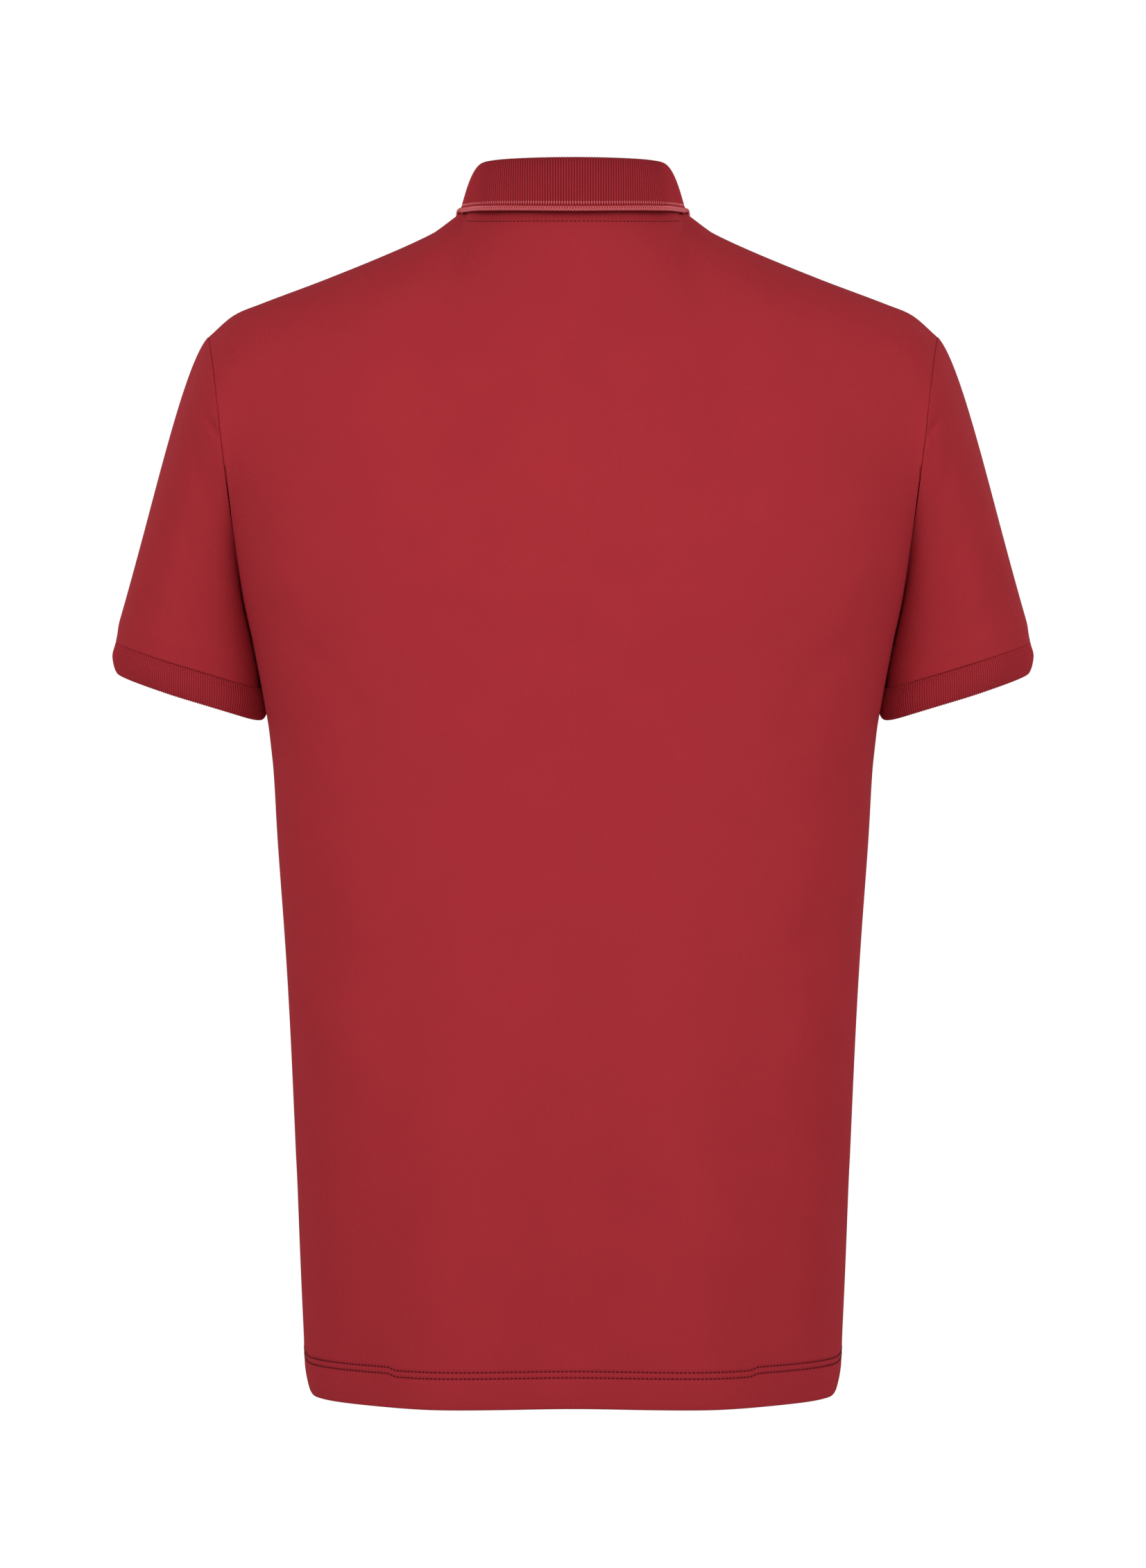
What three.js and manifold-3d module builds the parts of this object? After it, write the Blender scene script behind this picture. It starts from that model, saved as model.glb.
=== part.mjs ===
// A short-sleeved polo shirt of knitted pique cotton, filled out as if worn by a general figure.
// Millimetres, +Z up. The wearer faces -Y, so the wearer's left is +X. The origin lies on the
// shoulder line, midway between the two high points where the shoulders carry the shirt.
// Every cut piece is a wall of real cloth thickness, and pieces stand a seam gap apart.

import * as THREE from "three";
import { mergeVertices } from "three/addons/utils/BufferGeometryUtils.js";
import Module from "manifold-3d";

// Cloth
const CLOTH = 1.5; // wall of a single layer of pique
const HEM_LAYERS = 2; // the hem is turned up once
const COLLAR_KNIT = 1.9;
const CUFF_KNIT = 1.9;
const BAND_CLOTH = 2.0; // placket bands are folded double
const SEAM_GAP = 0.3;
const REST_GAP = 1.6; // air between cloth that only lies against other cloth

// Body
const HEM_Z = -710;
const CHEST_Z = -238; // level of the underarm points
const HEM_DEPTH = 20;
const BACK = 1;
const FRONT = -1;

// Level sections of the body from the hem to above the chest line, in order of height
const BODY_SECTIONS = [
  { z: HEM_Z, halfWidth: 161.5, backDepth: 127, frontDepth: 127, squareness: 2.45 },
  { z: -634, halfWidth: 165, backDepth: 124, frontDepth: 123, squareness: 2.4 },
  { z: -550, halfWidth: 168.3, backDepth: 118, frontDepth: 118, squareness: 2.35 },
  { z: -466, halfWidth: 172.5, backDepth: 113, frontDepth: 116, squareness: 2.3 },
  { z: -382, halfWidth: 178.4, backDepth: 111, frontDepth: 119, squareness: 2.3 },
  { z: -319, halfWidth: 183, backDepth: 113, frontDepth: 121, squareness: 2.3 },
  { z: -264, halfWidth: 192.5, backDepth: 116, frontDepth: 121, squareness: 2.3 },
  { z: -216, halfWidth: 203, backDepth: 118, frontDepth: 118, squareness: 2.3 },
  { z: -173, halfWidth: 210, backDepth: 117, frontDepth: 112, squareness: 2.3 },
];

// Soft folds that run down the body. Each has its place across at its upper and lower end,
// and sinks (or, where negative, swells) by its depth at its deepest level.
const FOLDS = [
  { face: BACK, topX: 0, lowX: 0, topZ: -400, lowZ: HEM_Z, halfWidth: 52, depth: 15, fadesLow: false },
  { face: BACK, topX: 98, lowX: 130, topZ: -360, lowZ: HEM_Z, halfWidth: 24, depth: 5, fadesLow: false },
  { face: BACK, topX: 132, lowX: 150, topZ: -330, lowZ: -600, halfWidth: 20, depth: -3, fadesLow: true },
  { face: BACK, topX: 70, lowX: 84, topZ: -380, lowZ: HEM_Z, halfWidth: 22, depth: -3, fadesLow: false },
  { face: FRONT, topX: 60, lowX: 78, topZ: -330, lowZ: HEM_Z, halfWidth: 26, depth: 6, fadesLow: false },
  { face: FRONT, topX: 118, lowX: 126, topZ: -300, lowZ: -640, halfWidth: 24, depth: 4, fadesLow: true },
];

// Neck, shoulder and armhole
const NECK_HALF_WIDTH = 63;
const NECK_SIDE_Z = 5;
const NECK_BACK = { depth: 60, z: 1 };
const NECK_FRONT = { depth: 76, z: -62 };
const NECK_SHARE = 0.34; // share of a half panel's top edge that is neckline; the rest is shoulder
const SHOULDER_END = { x: 221, y: -3, z: -73.5 };
const SHOULDER_LINE = [
  { x: 63, z: 5 },
  { x: 72, z: -3 },
  { x: 85, z: -11.5 },
  { x: 110, z: -22.5 },
  { x: 150, z: -38.8 },
  { x: 190, z: -53.8 },
  { x: 206, z: -60.6 },
  { x: 221, z: -73.5 },
];

// How a panel arrives at its top edge, by the share across from the middle to the armhole
const BACK_ARRIVAL = [
  { across: 0, x: 0, y: -24, z: 44 },
  { across: 0.2, x: -1, y: -40, z: 43 },
  { across: 0.34, x: -4, y: -80, z: 38 },
  { across: 0.46, x: -4, y: -98, z: 24 },
  { across: 0.65, x: -1, y: -94, z: 14 },
  { across: 0.85, x: 2, y: -80, z: 14 },
  { across: 1, x: 8, y: -66, z: 26 },
];
const FRONT_ARRIVAL = [
  { across: 0, x: 0, y: 20, z: 42 },
  { across: 0.2, x: -1, y: 34, z: 43 },
  { across: 0.34, x: -4, y: 72, z: 38 },
  { across: 0.46, x: -4, y: 92, z: 24 },
  { across: 0.65, x: -1, y: 90, z: 14 },
  { across: 0.85, x: 2, y: 78, z: 14 },
  { across: 1, x: 8, y: 64, z: 26 },
];
const ARMHOLE_START = { back: { x: 12, y: 62, z: 86 }, front: { x: 12, y: -64, z: 88 } };
const RISE = 66; // how far a column keeps the body's own slope above the chest line

// Sleeve: it hangs from the armhole to the seam of its ribbed cuff
const SLEEVE_END = { x: 233.5, y: -36, z: -271.2 };
const SLEEVE_HALF_WIDTH = 49.5;
const SLEEVE_HALF_DEPTH = 51;
const SLEEVE_RING_TILT = 16.5; // degrees that the cuff's rings rise to their outer side
const SLEEVE_RING_PITCH = 3.5; // degrees that they fall to the back
const SLEEVE_FLARE = 0.22;
const CUFF_DROP = { x: 0.5, y: -1.2, z: -20 };
const RIB_PITCH = 1.6;
const RIB_RELIEF = 0.45;

// Collar: one knitted strip, folded over; stations run from the middle of the back to the front
const COLLAR_STATIONS = [
  { at: 0, standUp: 28, lean: 7, edgeX: 0, edgeY: 72, edgeZ: -4.6 },
  { at: 0.25, standUp: 27.6, lean: 7, edgeX: 51, edgeY: 51, edgeZ: -2.6 },
  { at: 0.5, standUp: 26.8, lean: 6.8, edgeX: 69.8, edgeY: 0, edgeZ: 1.6 },
  { at: 0.75, standUp: 22, lean: 6, edgeX: 74, edgeY: -52, edgeZ: -32 },
  { at: 0.9, standUp: 14, lean: 4, edgeX: 61, edgeY: -82, edgeZ: -66 },
  { at: 1, standUp: 9, lean: 2, edgeX: 44.5, edgeY: -91, edgeZ: -88 },
];
const COLLAR_FRONT_GAP = 0.012; // share of the half collar that is left open at the middle front

// Placket and buttons
const PLACKET_SHARE = 0.05; // half its width, as a share of the half panel
const PLACKET_BOTTOM = 1.3; // level up the front panel: 1 is the chest line and 2 the neck edge
const OVER_BAND_TOP = 1.95; // it ends just under the collar
const UNDER_BAND_TOP = 1.998;
const BAND_OVERHANG = 0.006;
const BUTTON_LEVELS = [1.9, 1.68, 1.46];
const BUTTON_RADIUS = 5.5;
const BUTTON_HEIGHT = 2.4;

// Grid sizes
const NECK_COLUMNS = 8; // in each half of a panel, under the neckline
const SHOULDER_COLUMNS = 8; // in each half of a panel, from neck to armhole
const LOWER_ROWS = 11;
const UPPER_ROWS = 12;
const SLEEVE_COLUMNS = 2 * UPPER_ROWS; // the sleeve and the armhole share their points
const SLEEVE_ROWS = 8;
const CUFF_COLUMNS = 32;

const RED = new THREE.Color(0xa32f37);
const DARK_RED = new THREE.Color(0x8f2730);

const vec = (x, y, z) => new THREE.Vector3(x, y, z);
const fromRow = (row) => vec(row.x, row.y, row.z);
const mix = THREE.MathUtils.lerp;
const rad = THREE.MathUtils.degToRad;
const smooth = (x) => THREE.MathUtils.smoothstep(x, 0, 1);

// A table's column read between its rows by a smooth curve through them
function readTable(table, key, column, at) {
  const last = table.length - 1;
  const x = THREE.MathUtils.clamp(at, table[0][key], table[last][key]);
  let i = 0;
  while (i < last - 1 && table[i + 1][key] < x) i += 1;
  const slope = (k) => {
    const a = Math.max(k - 1, 0);
    const b = Math.min(k + 1, last);
    return (table[b][column] - table[a][column]) / (table[b][key] - table[a][key]);
  };
  const step = table[i + 1][key] - table[i][key];
  const t = (x - table[i][key]) / step;
  const t2 = t * t;
  const t3 = t2 * t;
  return (
    (2 * t3 - 3 * t2 + 1) * table[i][column] +
    (t3 - 2 * t2 + t) * step * slope(i) +
    (3 * t2 - 2 * t3) * table[i + 1][column] +
    (t3 - t2) * step * slope(i + 1)
  );
}

function cubic(start, startPull, end, endPull, t) {
  const u = 1 - t;
  return start
    .clone()
    .multiplyScalar(u * u * u)
    .addScaledVector(start.clone().add(startPull), 3 * u * u * t)
    .addScaledVector(end.clone().sub(endPull), 3 * u * t * t)
    .addScaledVector(end, t * t * t);
}

// The depth of all folds of a face at a place on the body, positive where the cloth sinks
function foldDepth(face, x, z) {
  let sum = 0;
  for (const fold of FOLDS) {
    if (fold.face !== face || z > fold.topZ) continue;
    const down = (fold.topZ - z) / (fold.topZ - fold.lowZ);
    const middle = mix(fold.topX, fold.lowX, down);
    const away = (Math.abs(x) - middle) / fold.halfWidth;
    const strength = fold.fadesLow ? Math.sin(Math.PI * Math.min(down, 1)) : smooth(down);
    sum += fold.depth * strength * Math.exp(-away * away);
  }
  return sum;
}

// A point of the body's level section; turn is 0 at the middle of the face and 1 at the side
function sectionPoint(face, turn, z) {
  const halfWidth = readTable(BODY_SECTIONS, "z", "halfWidth", z);
  const depth = readTable(BODY_SECTIONS, "z", face === BACK ? "backDepth" : "frontDepth", z);
  const n = readTable(BODY_SECTIONS, "z", "squareness", z);
  const sin = Math.sin((turn * Math.PI) / 2);
  const cos = Math.cos((turn * Math.PI) / 2);
  const reach = (Math.abs(sin) ** n + Math.abs(cos) ** n) ** (-1 / n);
  const x = halfWidth * sin * reach;
  const sink = foldDepth(face, x, z) * cos;
  return vec(x, face * (depth * cos * reach - sink), z);
}

function neckEdge(face, share) {
  const neck = face === BACK ? NECK_BACK : NECK_FRONT;
  const angle = (share * Math.PI) / 2;
  return vec(
    NECK_HALF_WIDTH * Math.sin(angle),
    face * neck.depth * Math.cos(angle),
    mix(NECK_SIDE_Z, neck.z, Math.cos(angle)),
  );
}

function shoulderEdge(share) {
  const x = mix(NECK_HALF_WIDTH, SHOULDER_END.x, share);
  return vec(x, SHOULDER_END.y * share, readTable(SHOULDER_LINE, "x", "z", x));
}

// A point of the front or back: across runs from -1 to 1, and level from 0 at the hem
// through 1 at the chest line to 2 at the neck and shoulder edge
function panelPoint(face, across, level) {
  const turn = Math.abs(across);
  const side = across < 0 ? -1 : 1;
  let point;
  if (level <= 1) {
    point = sectionPoint(face, turn, mix(HEM_Z, CHEST_Z, level));
  } else {
    const start = sectionPoint(face, turn, CHEST_Z);
    const slope = sectionPoint(face, turn, CHEST_Z + 1).sub(start);
    const armhole = fromRow(face === BACK ? ARMHOLE_START.back : ARMHOLE_START.front);
    const pull = slope.multiplyScalar(RISE).lerp(armhole, turn ** 5);
    const end =
      turn < NECK_SHARE
        ? neckEdge(face, turn / NECK_SHARE)
        : shoulderEdge((turn - NECK_SHARE) / (1 - NECK_SHARE));
    const table = face === BACK ? BACK_ARRIVAL : FRONT_ARRIVAL;
    const arrival = vec(
      readTable(table, "across", "x", turn),
      readTable(table, "across", "y", turn),
      readTable(table, "across", "z", turn),
    );
    point = cubic(start, pull, end, arrival, level - 1);
  }
  point.x *= side;
  return point;
}

// The outward normal of a surface given by two parameters, turned to face out by sense
function normalOf(pointAt, u, v, uEnds, vEnds, sense) {
  const step = 2e-3;
  const along = (fixed, low, high, at) => {
    const a = Math.max(at - step, low);
    const b = Math.min(at + step, high);
    return fixed(b).sub(fixed(a));
  };
  const alongU = along((x) => pointAt(x, v), ...uEnds, u);
  const alongV = along((x) => pointAt(u, x), ...vEnds, v);
  return alongU.cross(alongV).multiplyScalar(sense).normalize();
}

function faceNormal(face, across, level) {
  const at = (u, v) => panelPoint(face, u, v);
  return normalOf(at, across, level, [-1, 1], [0, 2.2], -face);
}

// Pieces that share a seam share its normal too, so that their walls meet in a mitre
function panelNormal(face, across, level) {
  const turn = Math.abs(across);
  if (turn === 1 && level >= 1) {
    const normal = armholeNormal(face === BACK ? 1 - level / 2 : level / 2);
    return normal.multiply(vec(Math.sign(across), 1, 1));
  }
  const normal = faceNormal(face, across, level);
  const onShoulder = turn >= NECK_SHARE && level === 2;
  if (turn === 1 || onShoulder) normal.add(faceNormal(-face, across, level)).normalize();
  return normal;
}

// Points of the body's outside with their normals, for keeping other cloth clear of it
const bodySamples = [];
for (const face of [BACK, FRONT]) {
  for (let i = 0; i <= 80; i += 1) {
    for (let j = 20; j <= 100; j += 1) {
      const across = -1 + i / 40;
      const level = j / 50;
      bodySamples.push({
        at: panelPoint(face, across, level),
        normal: faceNormal(face, across, level),
        isEdge: Math.abs(across) === 1 && level > 1,
      });
    }
  }
}

// Moves a point out until it is at least gap from the body's outside, if it is over the body
function liftClear(point, gap) {
  let best = null;
  let bestDistance = Infinity;
  for (const sample of bodySamples) {
    const distance = sample.at.distanceToSquared(point);
    if (distance < bestDistance) {
      best = sample;
      bestDistance = distance;
    }
  }
  const height = point.clone().sub(best.at).dot(best.normal);
  if (height < gap && !best.isEdge) point.addScaledVector(best.normal, gap - height);
  return point;
}

// Joins two rows of points with triangles. A row is a list of { u, at }, in order of u.
// Quads are split the mirrored way where u is below 0, so that left and right match.
function zipRows(triangles, low, high) {
  const middle = (row, k) => (k < row.length - 1 ? (row[k].u + row[k + 1].u) / 2 : Infinity);
  let i = 0;
  let j = 0;
  while (i < low.length - 1 || j < high.length - 1) {
    const nextLow = middle(low, i);
    const nextHigh = middle(high, j);
    const isTie = Math.abs(nextLow - nextHigh) < 1e-9;
    if (isTie ? nextLow > 0 : nextLow < nextHigh) {
      triangles.push(low[i].at, low[i + 1].at, high[j].at);
      i += 1;
    } else {
      triangles.push(low[i].at, high[j + 1].at, high[j].at);
      j += 1;
    }
  }
}

// A closed wall from its outer rows and its inner rows, both given from low to high.
// An open wall has its two ends capped; a tube's rows repeat their first point at the end.
function wallGeometry(outerRows, innerRows, isTube) {
  const loop = [...outerRows, ...innerRows.toReversed()];
  const triangles = [];
  loop.forEach((row, k) => zipRows(triangles, row, loop[(k + 1) % loop.length]));
  if (!isTube) {
    const pick = (rows, end) =>
      rows.map((row, k) => ({ u: k / (rows.length - 1), at: row.at(end).at }));
    zipRows(triangles, pick(outerRows, 0), pick(innerRows, 0));
    zipRows(triangles, pick(innerRows, -1), pick(outerRows, -1));
  }
  const geometry = new THREE.BufferGeometry().setFromPoints(triangles);
  return mergeVertices(geometry, 1e-4);
}

const steps = (count) => Array.from({ length: count + 1 }, (_, i) => i / count);
// Steps that crowd towards the end, where the shoulder turns over into the sleeve
const crowded = (count) => steps(count).map((share) => 1 - (1 - share) ** 1.35);

// Steps the named edges of a grid of points back from their seams by half the seam gap,
// square to the mitre that the edge shares with its neighbour
function openSeams(grid, normals, edges) {
  const before = grid.map((row) => row.map((point) => point.clone()));
  const columns = grid[0].length;
  const rows = grid.length;
  const stepBack = (j, i, next, previous, inner) => {
    const across = next.clone().sub(previous).cross(normals[j][i]).normalize();
    const side = Math.sign(inner.clone().sub(before[j][i]).dot(across));
    grid[j][i].addScaledVector(across, (side * SEAM_GAP) / 2);
  };
  const isTube = before[0][0].equals(before[0][columns - 1]);
  const alongRow = (j, inner) => {
    for (let i = 0; i < columns; i += 1) {
      const next = isTube && i === columns - 1 ? 1 : Math.min(i + 1, columns - 1);
      const previous = isTube && i === 0 ? columns - 2 : Math.max(i - 1, 0);
      stepBack(j, i, before[j][next], before[j][previous], before[inner][i]);
    }
  };
  const alongColumn = (i, inner) => {
    for (let j = 0; j < rows; j += 1) {
      const next = before[Math.min(j + 1, rows - 1)][i];
      stepBack(j, i, next, before[Math.max(j - 1, 0)][i], before[j][inner]);
    }
  };
  if (edges.includes("bottom")) alongRow(0, 1);
  if (edges.includes("top")) alongRow(rows - 1, rows - 2);
  if (edges.includes("sides")) {
    alongColumn(0, 1);
    alongColumn(columns - 1, columns - 2);
  }
}

// Front and back panels, with the hem turned up inside
function panelGeometry(face) {
  const half = [
    ...steps(NECK_COLUMNS).map((share) => share * NECK_SHARE),
    ...crowded(SHOULDER_COLUMNS).slice(1).map((share) => mix(NECK_SHARE, 1, share)),
  ];
  const acrosses = [...half.slice(1).map((across) => -across).reverse(), ...half];
  const hemTop = HEM_DEPTH / (CHEST_Z - HEM_Z);
  const lower = steps(LOWER_ROWS).map((share) => mix(hemTop, 1, share));
  const upper = steps(UPPER_ROWS).slice(1).map((share) => 1 + share);
  const levels = [0, hemTop - 0.001, ...lower, ...upper];
  const outer = levels.map((level) => acrosses.map((across) => panelPoint(face, across, level)));
  const normals = levels.map((level) =>
    acrosses.map((across) => panelNormal(face, across, level)),
  );
  openSeams(outer, normals, ["sides", "top"]);
  const thickness = (level) => (level < hemTop ? CLOTH * HEM_LAYERS : CLOTH);
  const inner = levels.map((level, j) =>
    acrosses.map((across, i) =>
      outer[j][i].clone().addScaledVector(normals[j][i], -thickness(level)),
    ),
  );
  const rowOf = (points) => points.map((point, i) => ({ u: acrosses[i], at: point }));
  const outerRows = outer.map(rowOf);
  const innerRows = inner.map(rowOf);
  return face === BACK
    ? wallGeometry(innerRows, outerRows, false)
    : wallGeometry(outerRows, innerRows, false);
}

// A strip that lies on the front along its middle, raised by lift
function frontStrip(low, high, halfShare, lift, thickness, columns, rows) {
  const acrosses = steps(columns).map((share) => (share * 2 - 1) * halfShare);
  const levels = steps(rows).map((share) => mix(low, high, share));
  const layer = (height) =>
    levels.map((level) =>
      acrosses.map((across) => ({
        u: across,
        at: panelPoint(FRONT, across, level).addScaledVector(
          faceNormal(FRONT, across, level),
          height,
        ),
      })),
    );
  return wallGeometry(layer(lift + thickness), layer(lift), false);
}

// The armhole's seam line as a full turn: 0 at the shoulder, to the back, the underarm and the front
function armholePoint(turn) {
  return turn <= 0.5
    ? panelPoint(BACK, 1, 2 - turn * 2)
    : panelPoint(FRONT, 1, 1 + (turn - 0.5) * 2);
}

const sleeveOut = vec(Math.cos(rad(SLEEVE_RING_TILT)), 0, Math.sin(rad(SLEEVE_RING_TILT)));
const sleeveBack = vec(0, Math.cos(rad(SLEEVE_RING_PITCH)), -Math.sin(rad(SLEEVE_RING_PITCH)));

// A ring of the cuff: beyond is 0 at its seam and 1 at its edge
function sleeveRing(turn, beyond) {
  const angle = turn * 2 * Math.PI;
  return fromRow(SLEEVE_END)
    .addScaledVector(fromRow(CUFF_DROP), beyond)
    .addScaledVector(sleeveOut, SLEEVE_HALF_WIDTH * Math.cos(angle))
    .addScaledVector(sleeveBack, SLEEVE_HALF_DEPTH * Math.sin(angle));
}

// A point of the left sleeve: along is 0 at the armhole, 1 at the cuff's seam and 2 at its edge
function sleevePoint(turn, along) {
  if (along >= 1) return sleeveRing(turn, along - 1);
  const start = armholePoint(turn);
  const end = sleeveRing(turn, 0);
  const length = start.distanceTo(end);
  const low = (1 - Math.cos(turn * 2 * Math.PI)) / 2;
  const arrive = fromRow(CUFF_DROP)
    .normalize()
    .addScaledVector(sleeveOut, SLEEVE_FLARE * Math.cos(turn * 2 * Math.PI));
  const leave = vec(0.6, 0, -0.8).lerp(vec(0.3, -0.3, -0.9), low);
  const point = cubic(
    start,
    leave.multiplyScalar(length * mix(0.13, 0.34, low)),
    end,
    arrive.multiplyScalar(length * 0.4),
    along,
  );
  return along > 0.02 ? liftClear(point, REST_GAP * smooth(along * 4)) : point;
}

function sleeveNormal(turn, along) {
  return along < 1
    ? normalOf(sleevePoint, turn, along, [0, 1], [0, 1], -1)
    : normalOf(sleeveRing, turn, 0, [0, 1], [0, 1], -1);
}

// The middle direction between the walls that meet at a place round the armhole
function armholeNormal(place) {
  const turn = place % 1;
  const level = Math.abs(1 - turn * 2) + 1;
  const body = vec(0, 0, 0);
  if (turn <= 0.5) body.add(faceNormal(BACK, 1, level));
  if (turn >= 0.5 || turn === 0) body.add(faceNormal(FRONT, 1, level));
  return body.normalize().add(sleeveNormal(turn, 0)).normalize();
}

function sleeveGeometry() {
  const turns = steps(SLEEVE_COLUMNS);
  const alongs = crowded(SLEEVE_ROWS).map((share) => 1 - share).reverse();
  const outer = alongs.map((along) => turns.map((turn) => sleevePoint(turn % 1, along)));
  const normals = alongs.map((along) =>
    turns.map((turn) => (along ? sleeveNormal(turn % 1, along) : armholeNormal(turn))),
  );
  openSeams(outer, normals, ["bottom", "top"]);
  const inner = outer.map((row, j) =>
    row.map((point, i) => point.clone().addScaledVector(normals[j][i], -CLOTH)),
  );
  const rowOf = (points) => points.map((point, i) => ({ u: turns[i], at: point }));
  return wallGeometry(inner.map(rowOf), outer.map(rowOf), true);
}

// Rib crests and troughs as shares of a length that holds so many ribs
function ribShares(count) {
  return steps(count * 2).map((share, i) => ({ share, raised: i % 2 === 1 ? RIB_RELIEF : 0 }));
}

function cuffGeometry() {
  const girth = Math.PI * (SLEEVE_HALF_WIDTH + SLEEVE_HALF_DEPTH);
  const ribs = ribShares(Math.round(girth / RIB_PITCH));
  const seam = 1 - SEAM_GAP / 2 / CUFF_DROP.z;
  const place = (turn, along, lift) =>
    sleevePoint(turn % 1, along).addScaledVector(sleeveNormal(turn % 1, along), lift);
  const ribbed = (along) =>
    ribs.map(({ share, raised }) => ({ u: share, at: place(share, along, raised - RIB_RELIEF) }));
  const plain = (along) =>
    steps(CUFF_COLUMNS).map((share) => ({ u: share, at: place(share, along, -CUFF_KNIT) }));
  return wallGeometry([plain(seam), plain(2)], [ribbed(seam), ribbed(2)], true);
}

// The collar's seam line: at runs from 0 at the middle of the back to 1 at the middle front
function collarSeam(at) {
  return at <= 0.5 ? neckEdge(BACK, at * 2) : neckEdge(FRONT, (1 - at) * 2);
}

// A point of the collar's fabric: over is 0 at the seam, 1 at the fold and 2 at the leaf's edge
function collarPoint(around, over) {
  const at = Math.abs(around);
  const read = (column) => readTable(COLLAR_STATIONS, "at", column, at);
  const seam = collarSeam(at);
  const out = vec(seam.x, seam.y, 0).normalize();
  seam.addScaledVector(out, -COLLAR_KNIT).setZ(seam.z + SEAM_GAP);
  const fold = seam.clone().addScaledVector(out, -read("lean"));
  fold.z += read("standUp");
  const roll = mix(7, 3.5, smooth((at - 0.6) / 0.4));
  let point;
  if (over <= 1) {
    const rise = vec(0, 0, read("standUp") * 0.42).addScaledVector(out, -2);
    const arrive = out.clone().multiplyScalar(roll).setZ(1);
    point = cubic(seam, rise, fold, arrive, over);
  } else {
    const edge = vec(read("edgeX"), read("edgeY"), read("edgeZ"));
    const fall = edge.clone().sub(fold);
    const start = out.clone().multiplyScalar(roll).addScaledVector(fall, 0.06);
    const settle = fall.clone().multiplyScalar(0.3).addScaledVector(out, -3 * (1 - at));
    point = cubic(fold, start, edge, settle, over - 1);
    const overBand = BAND_CLOTH * smooth((at - 0.8) * 8);
    const rest = COLLAR_KNIT + REST_GAP + overBand;
    if (over > 1.1) liftClear(point, rest * smooth((over - 1.1) * 3));
  }
  if (around < 0) point.x = -point.x;
  return point;
}

function collarGeometry() {
  const end = 1 - COLLAR_FRONT_GAP;
  const halfLeaf = 71 * Math.PI; // leaf length for each unit round, at the middle of the back
  const ribs = ribShares(Math.round((2 * end * halfLeaf) / RIB_PITCH));
  const place = (around, over, lift) => {
    const normal = normalOf(collarPoint, around, over, [-end, end], [0, 2], 1);
    return collarPoint(around, over).addScaledVector(normal, lift);
  };
  const plain = (over, lift) =>
    steps(NECK_COLUMNS * 4).map((share) => {
      const around = THREE.MathUtils.clamp(share * 2 - 1, -end, end);
      return { u: around, at: place(around, over, lift) };
    });
  const ribbed = (over) =>
    ribs.map(({ share, raised }) => {
      const around = mix(-end, end, share);
      return { u: around, at: place(around, over, raised - RIB_RELIEF) };
    });
  const outside = [plain(0, 0), plain(0.5, 0), plain(0.85, 0), ribbed(1.05), ribbed(1.5), ribbed(2)];
  const inside = [0, 0.5, 0.85, 1.05, 1.5, 2].map((over) => plain(over, -COLLAR_KNIT));
  return wallGeometry(outside, inside, false);
}

// A sewn-through button: a disc with a raised rim
function buttonGeometry() {
  const profile = [
    [0, 0],
    [BUTTON_RADIUS - 0.8, 0],
    [BUTTON_RADIUS, 0.7],
    [BUTTON_RADIUS, BUTTON_HEIGHT - 0.5],
    [BUTTON_RADIUS - 0.7, BUTTON_HEIGHT],
    [BUTTON_RADIUS - 1.8, BUTTON_HEIGHT - 0.2],
    [BUTTON_RADIUS - 2.3, BUTTON_HEIGHT - 0.8],
    [0, BUTTON_HEIGHT - 0.8],
  ].map(([r, y]) => new THREE.Vector2(r, y));
  return new THREE.LatheGeometry(profile, 18);
}

const wasm = await Module();
wasm.setup();

function solidOf(geometry) {
  const bare = new THREE.BufferGeometry().setAttribute("position", geometry.getAttribute("position"));
  if (geometry.index) bare.setIndex(geometry.index);
  const merged = mergeVertices(bare, 1e-3);
  return new wasm.Manifold(
    new wasm.Mesh({
      numProp: 3,
      vertProperties: merged.attributes.position.array,
      triVerts: new Uint32Array(merged.index.array),
    }),
  );
}

function geometryOf(solid) {
  const mesh = solid.getMesh();
  return new THREE.BufferGeometry()
    .setAttribute("position", new THREE.BufferAttribute(mesh.vertProperties, 3))
    .setIndex(new THREE.BufferAttribute(mesh.triVerts, 1));
}

// The front panel with the placket's slit cut out of it
function frontGeometry() {
  const slit = frontStrip(PLACKET_BOTTOM, 2.08, PLACKET_SHARE, -8, 16, 4, 10);
  return geometryOf(solidOf(panelGeometry(FRONT)).subtract(solidOf(slit)));
}

const shirt = new THREE.Group();

function addPiece(name, geometry, color, roughness) {
  const material = new THREE.MeshStandardMaterial({ color, roughness, metalness: 0 });
  const mesh = new THREE.Mesh(geometry, material);
  mesh.name = name;
  shirt.add(mesh);
  return mesh;
}

// A geometry seen in the mirror, with its faces turned back to point out
function mirrored(geometry) {
  const flipped = geometry.toNonIndexed().scale(-1, 1, 1);
  const position = flipped.getAttribute("position");
  for (let i = 0; i < position.count; i += 3) {
    const second = vec(0, 0, 0).fromBufferAttribute(position, i + 1);
    const third = vec(0, 0, 0).fromBufferAttribute(position, i + 2);
    position.setXYZ(i + 1, third.x, third.y, third.z);
    position.setXYZ(i + 2, second.x, second.y, second.z);
  }
  return flipped;
}

addPiece("back_panel", panelGeometry(BACK), RED, 0.9);
addPiece("front_panel", frontGeometry(), RED, 0.9);

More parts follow.
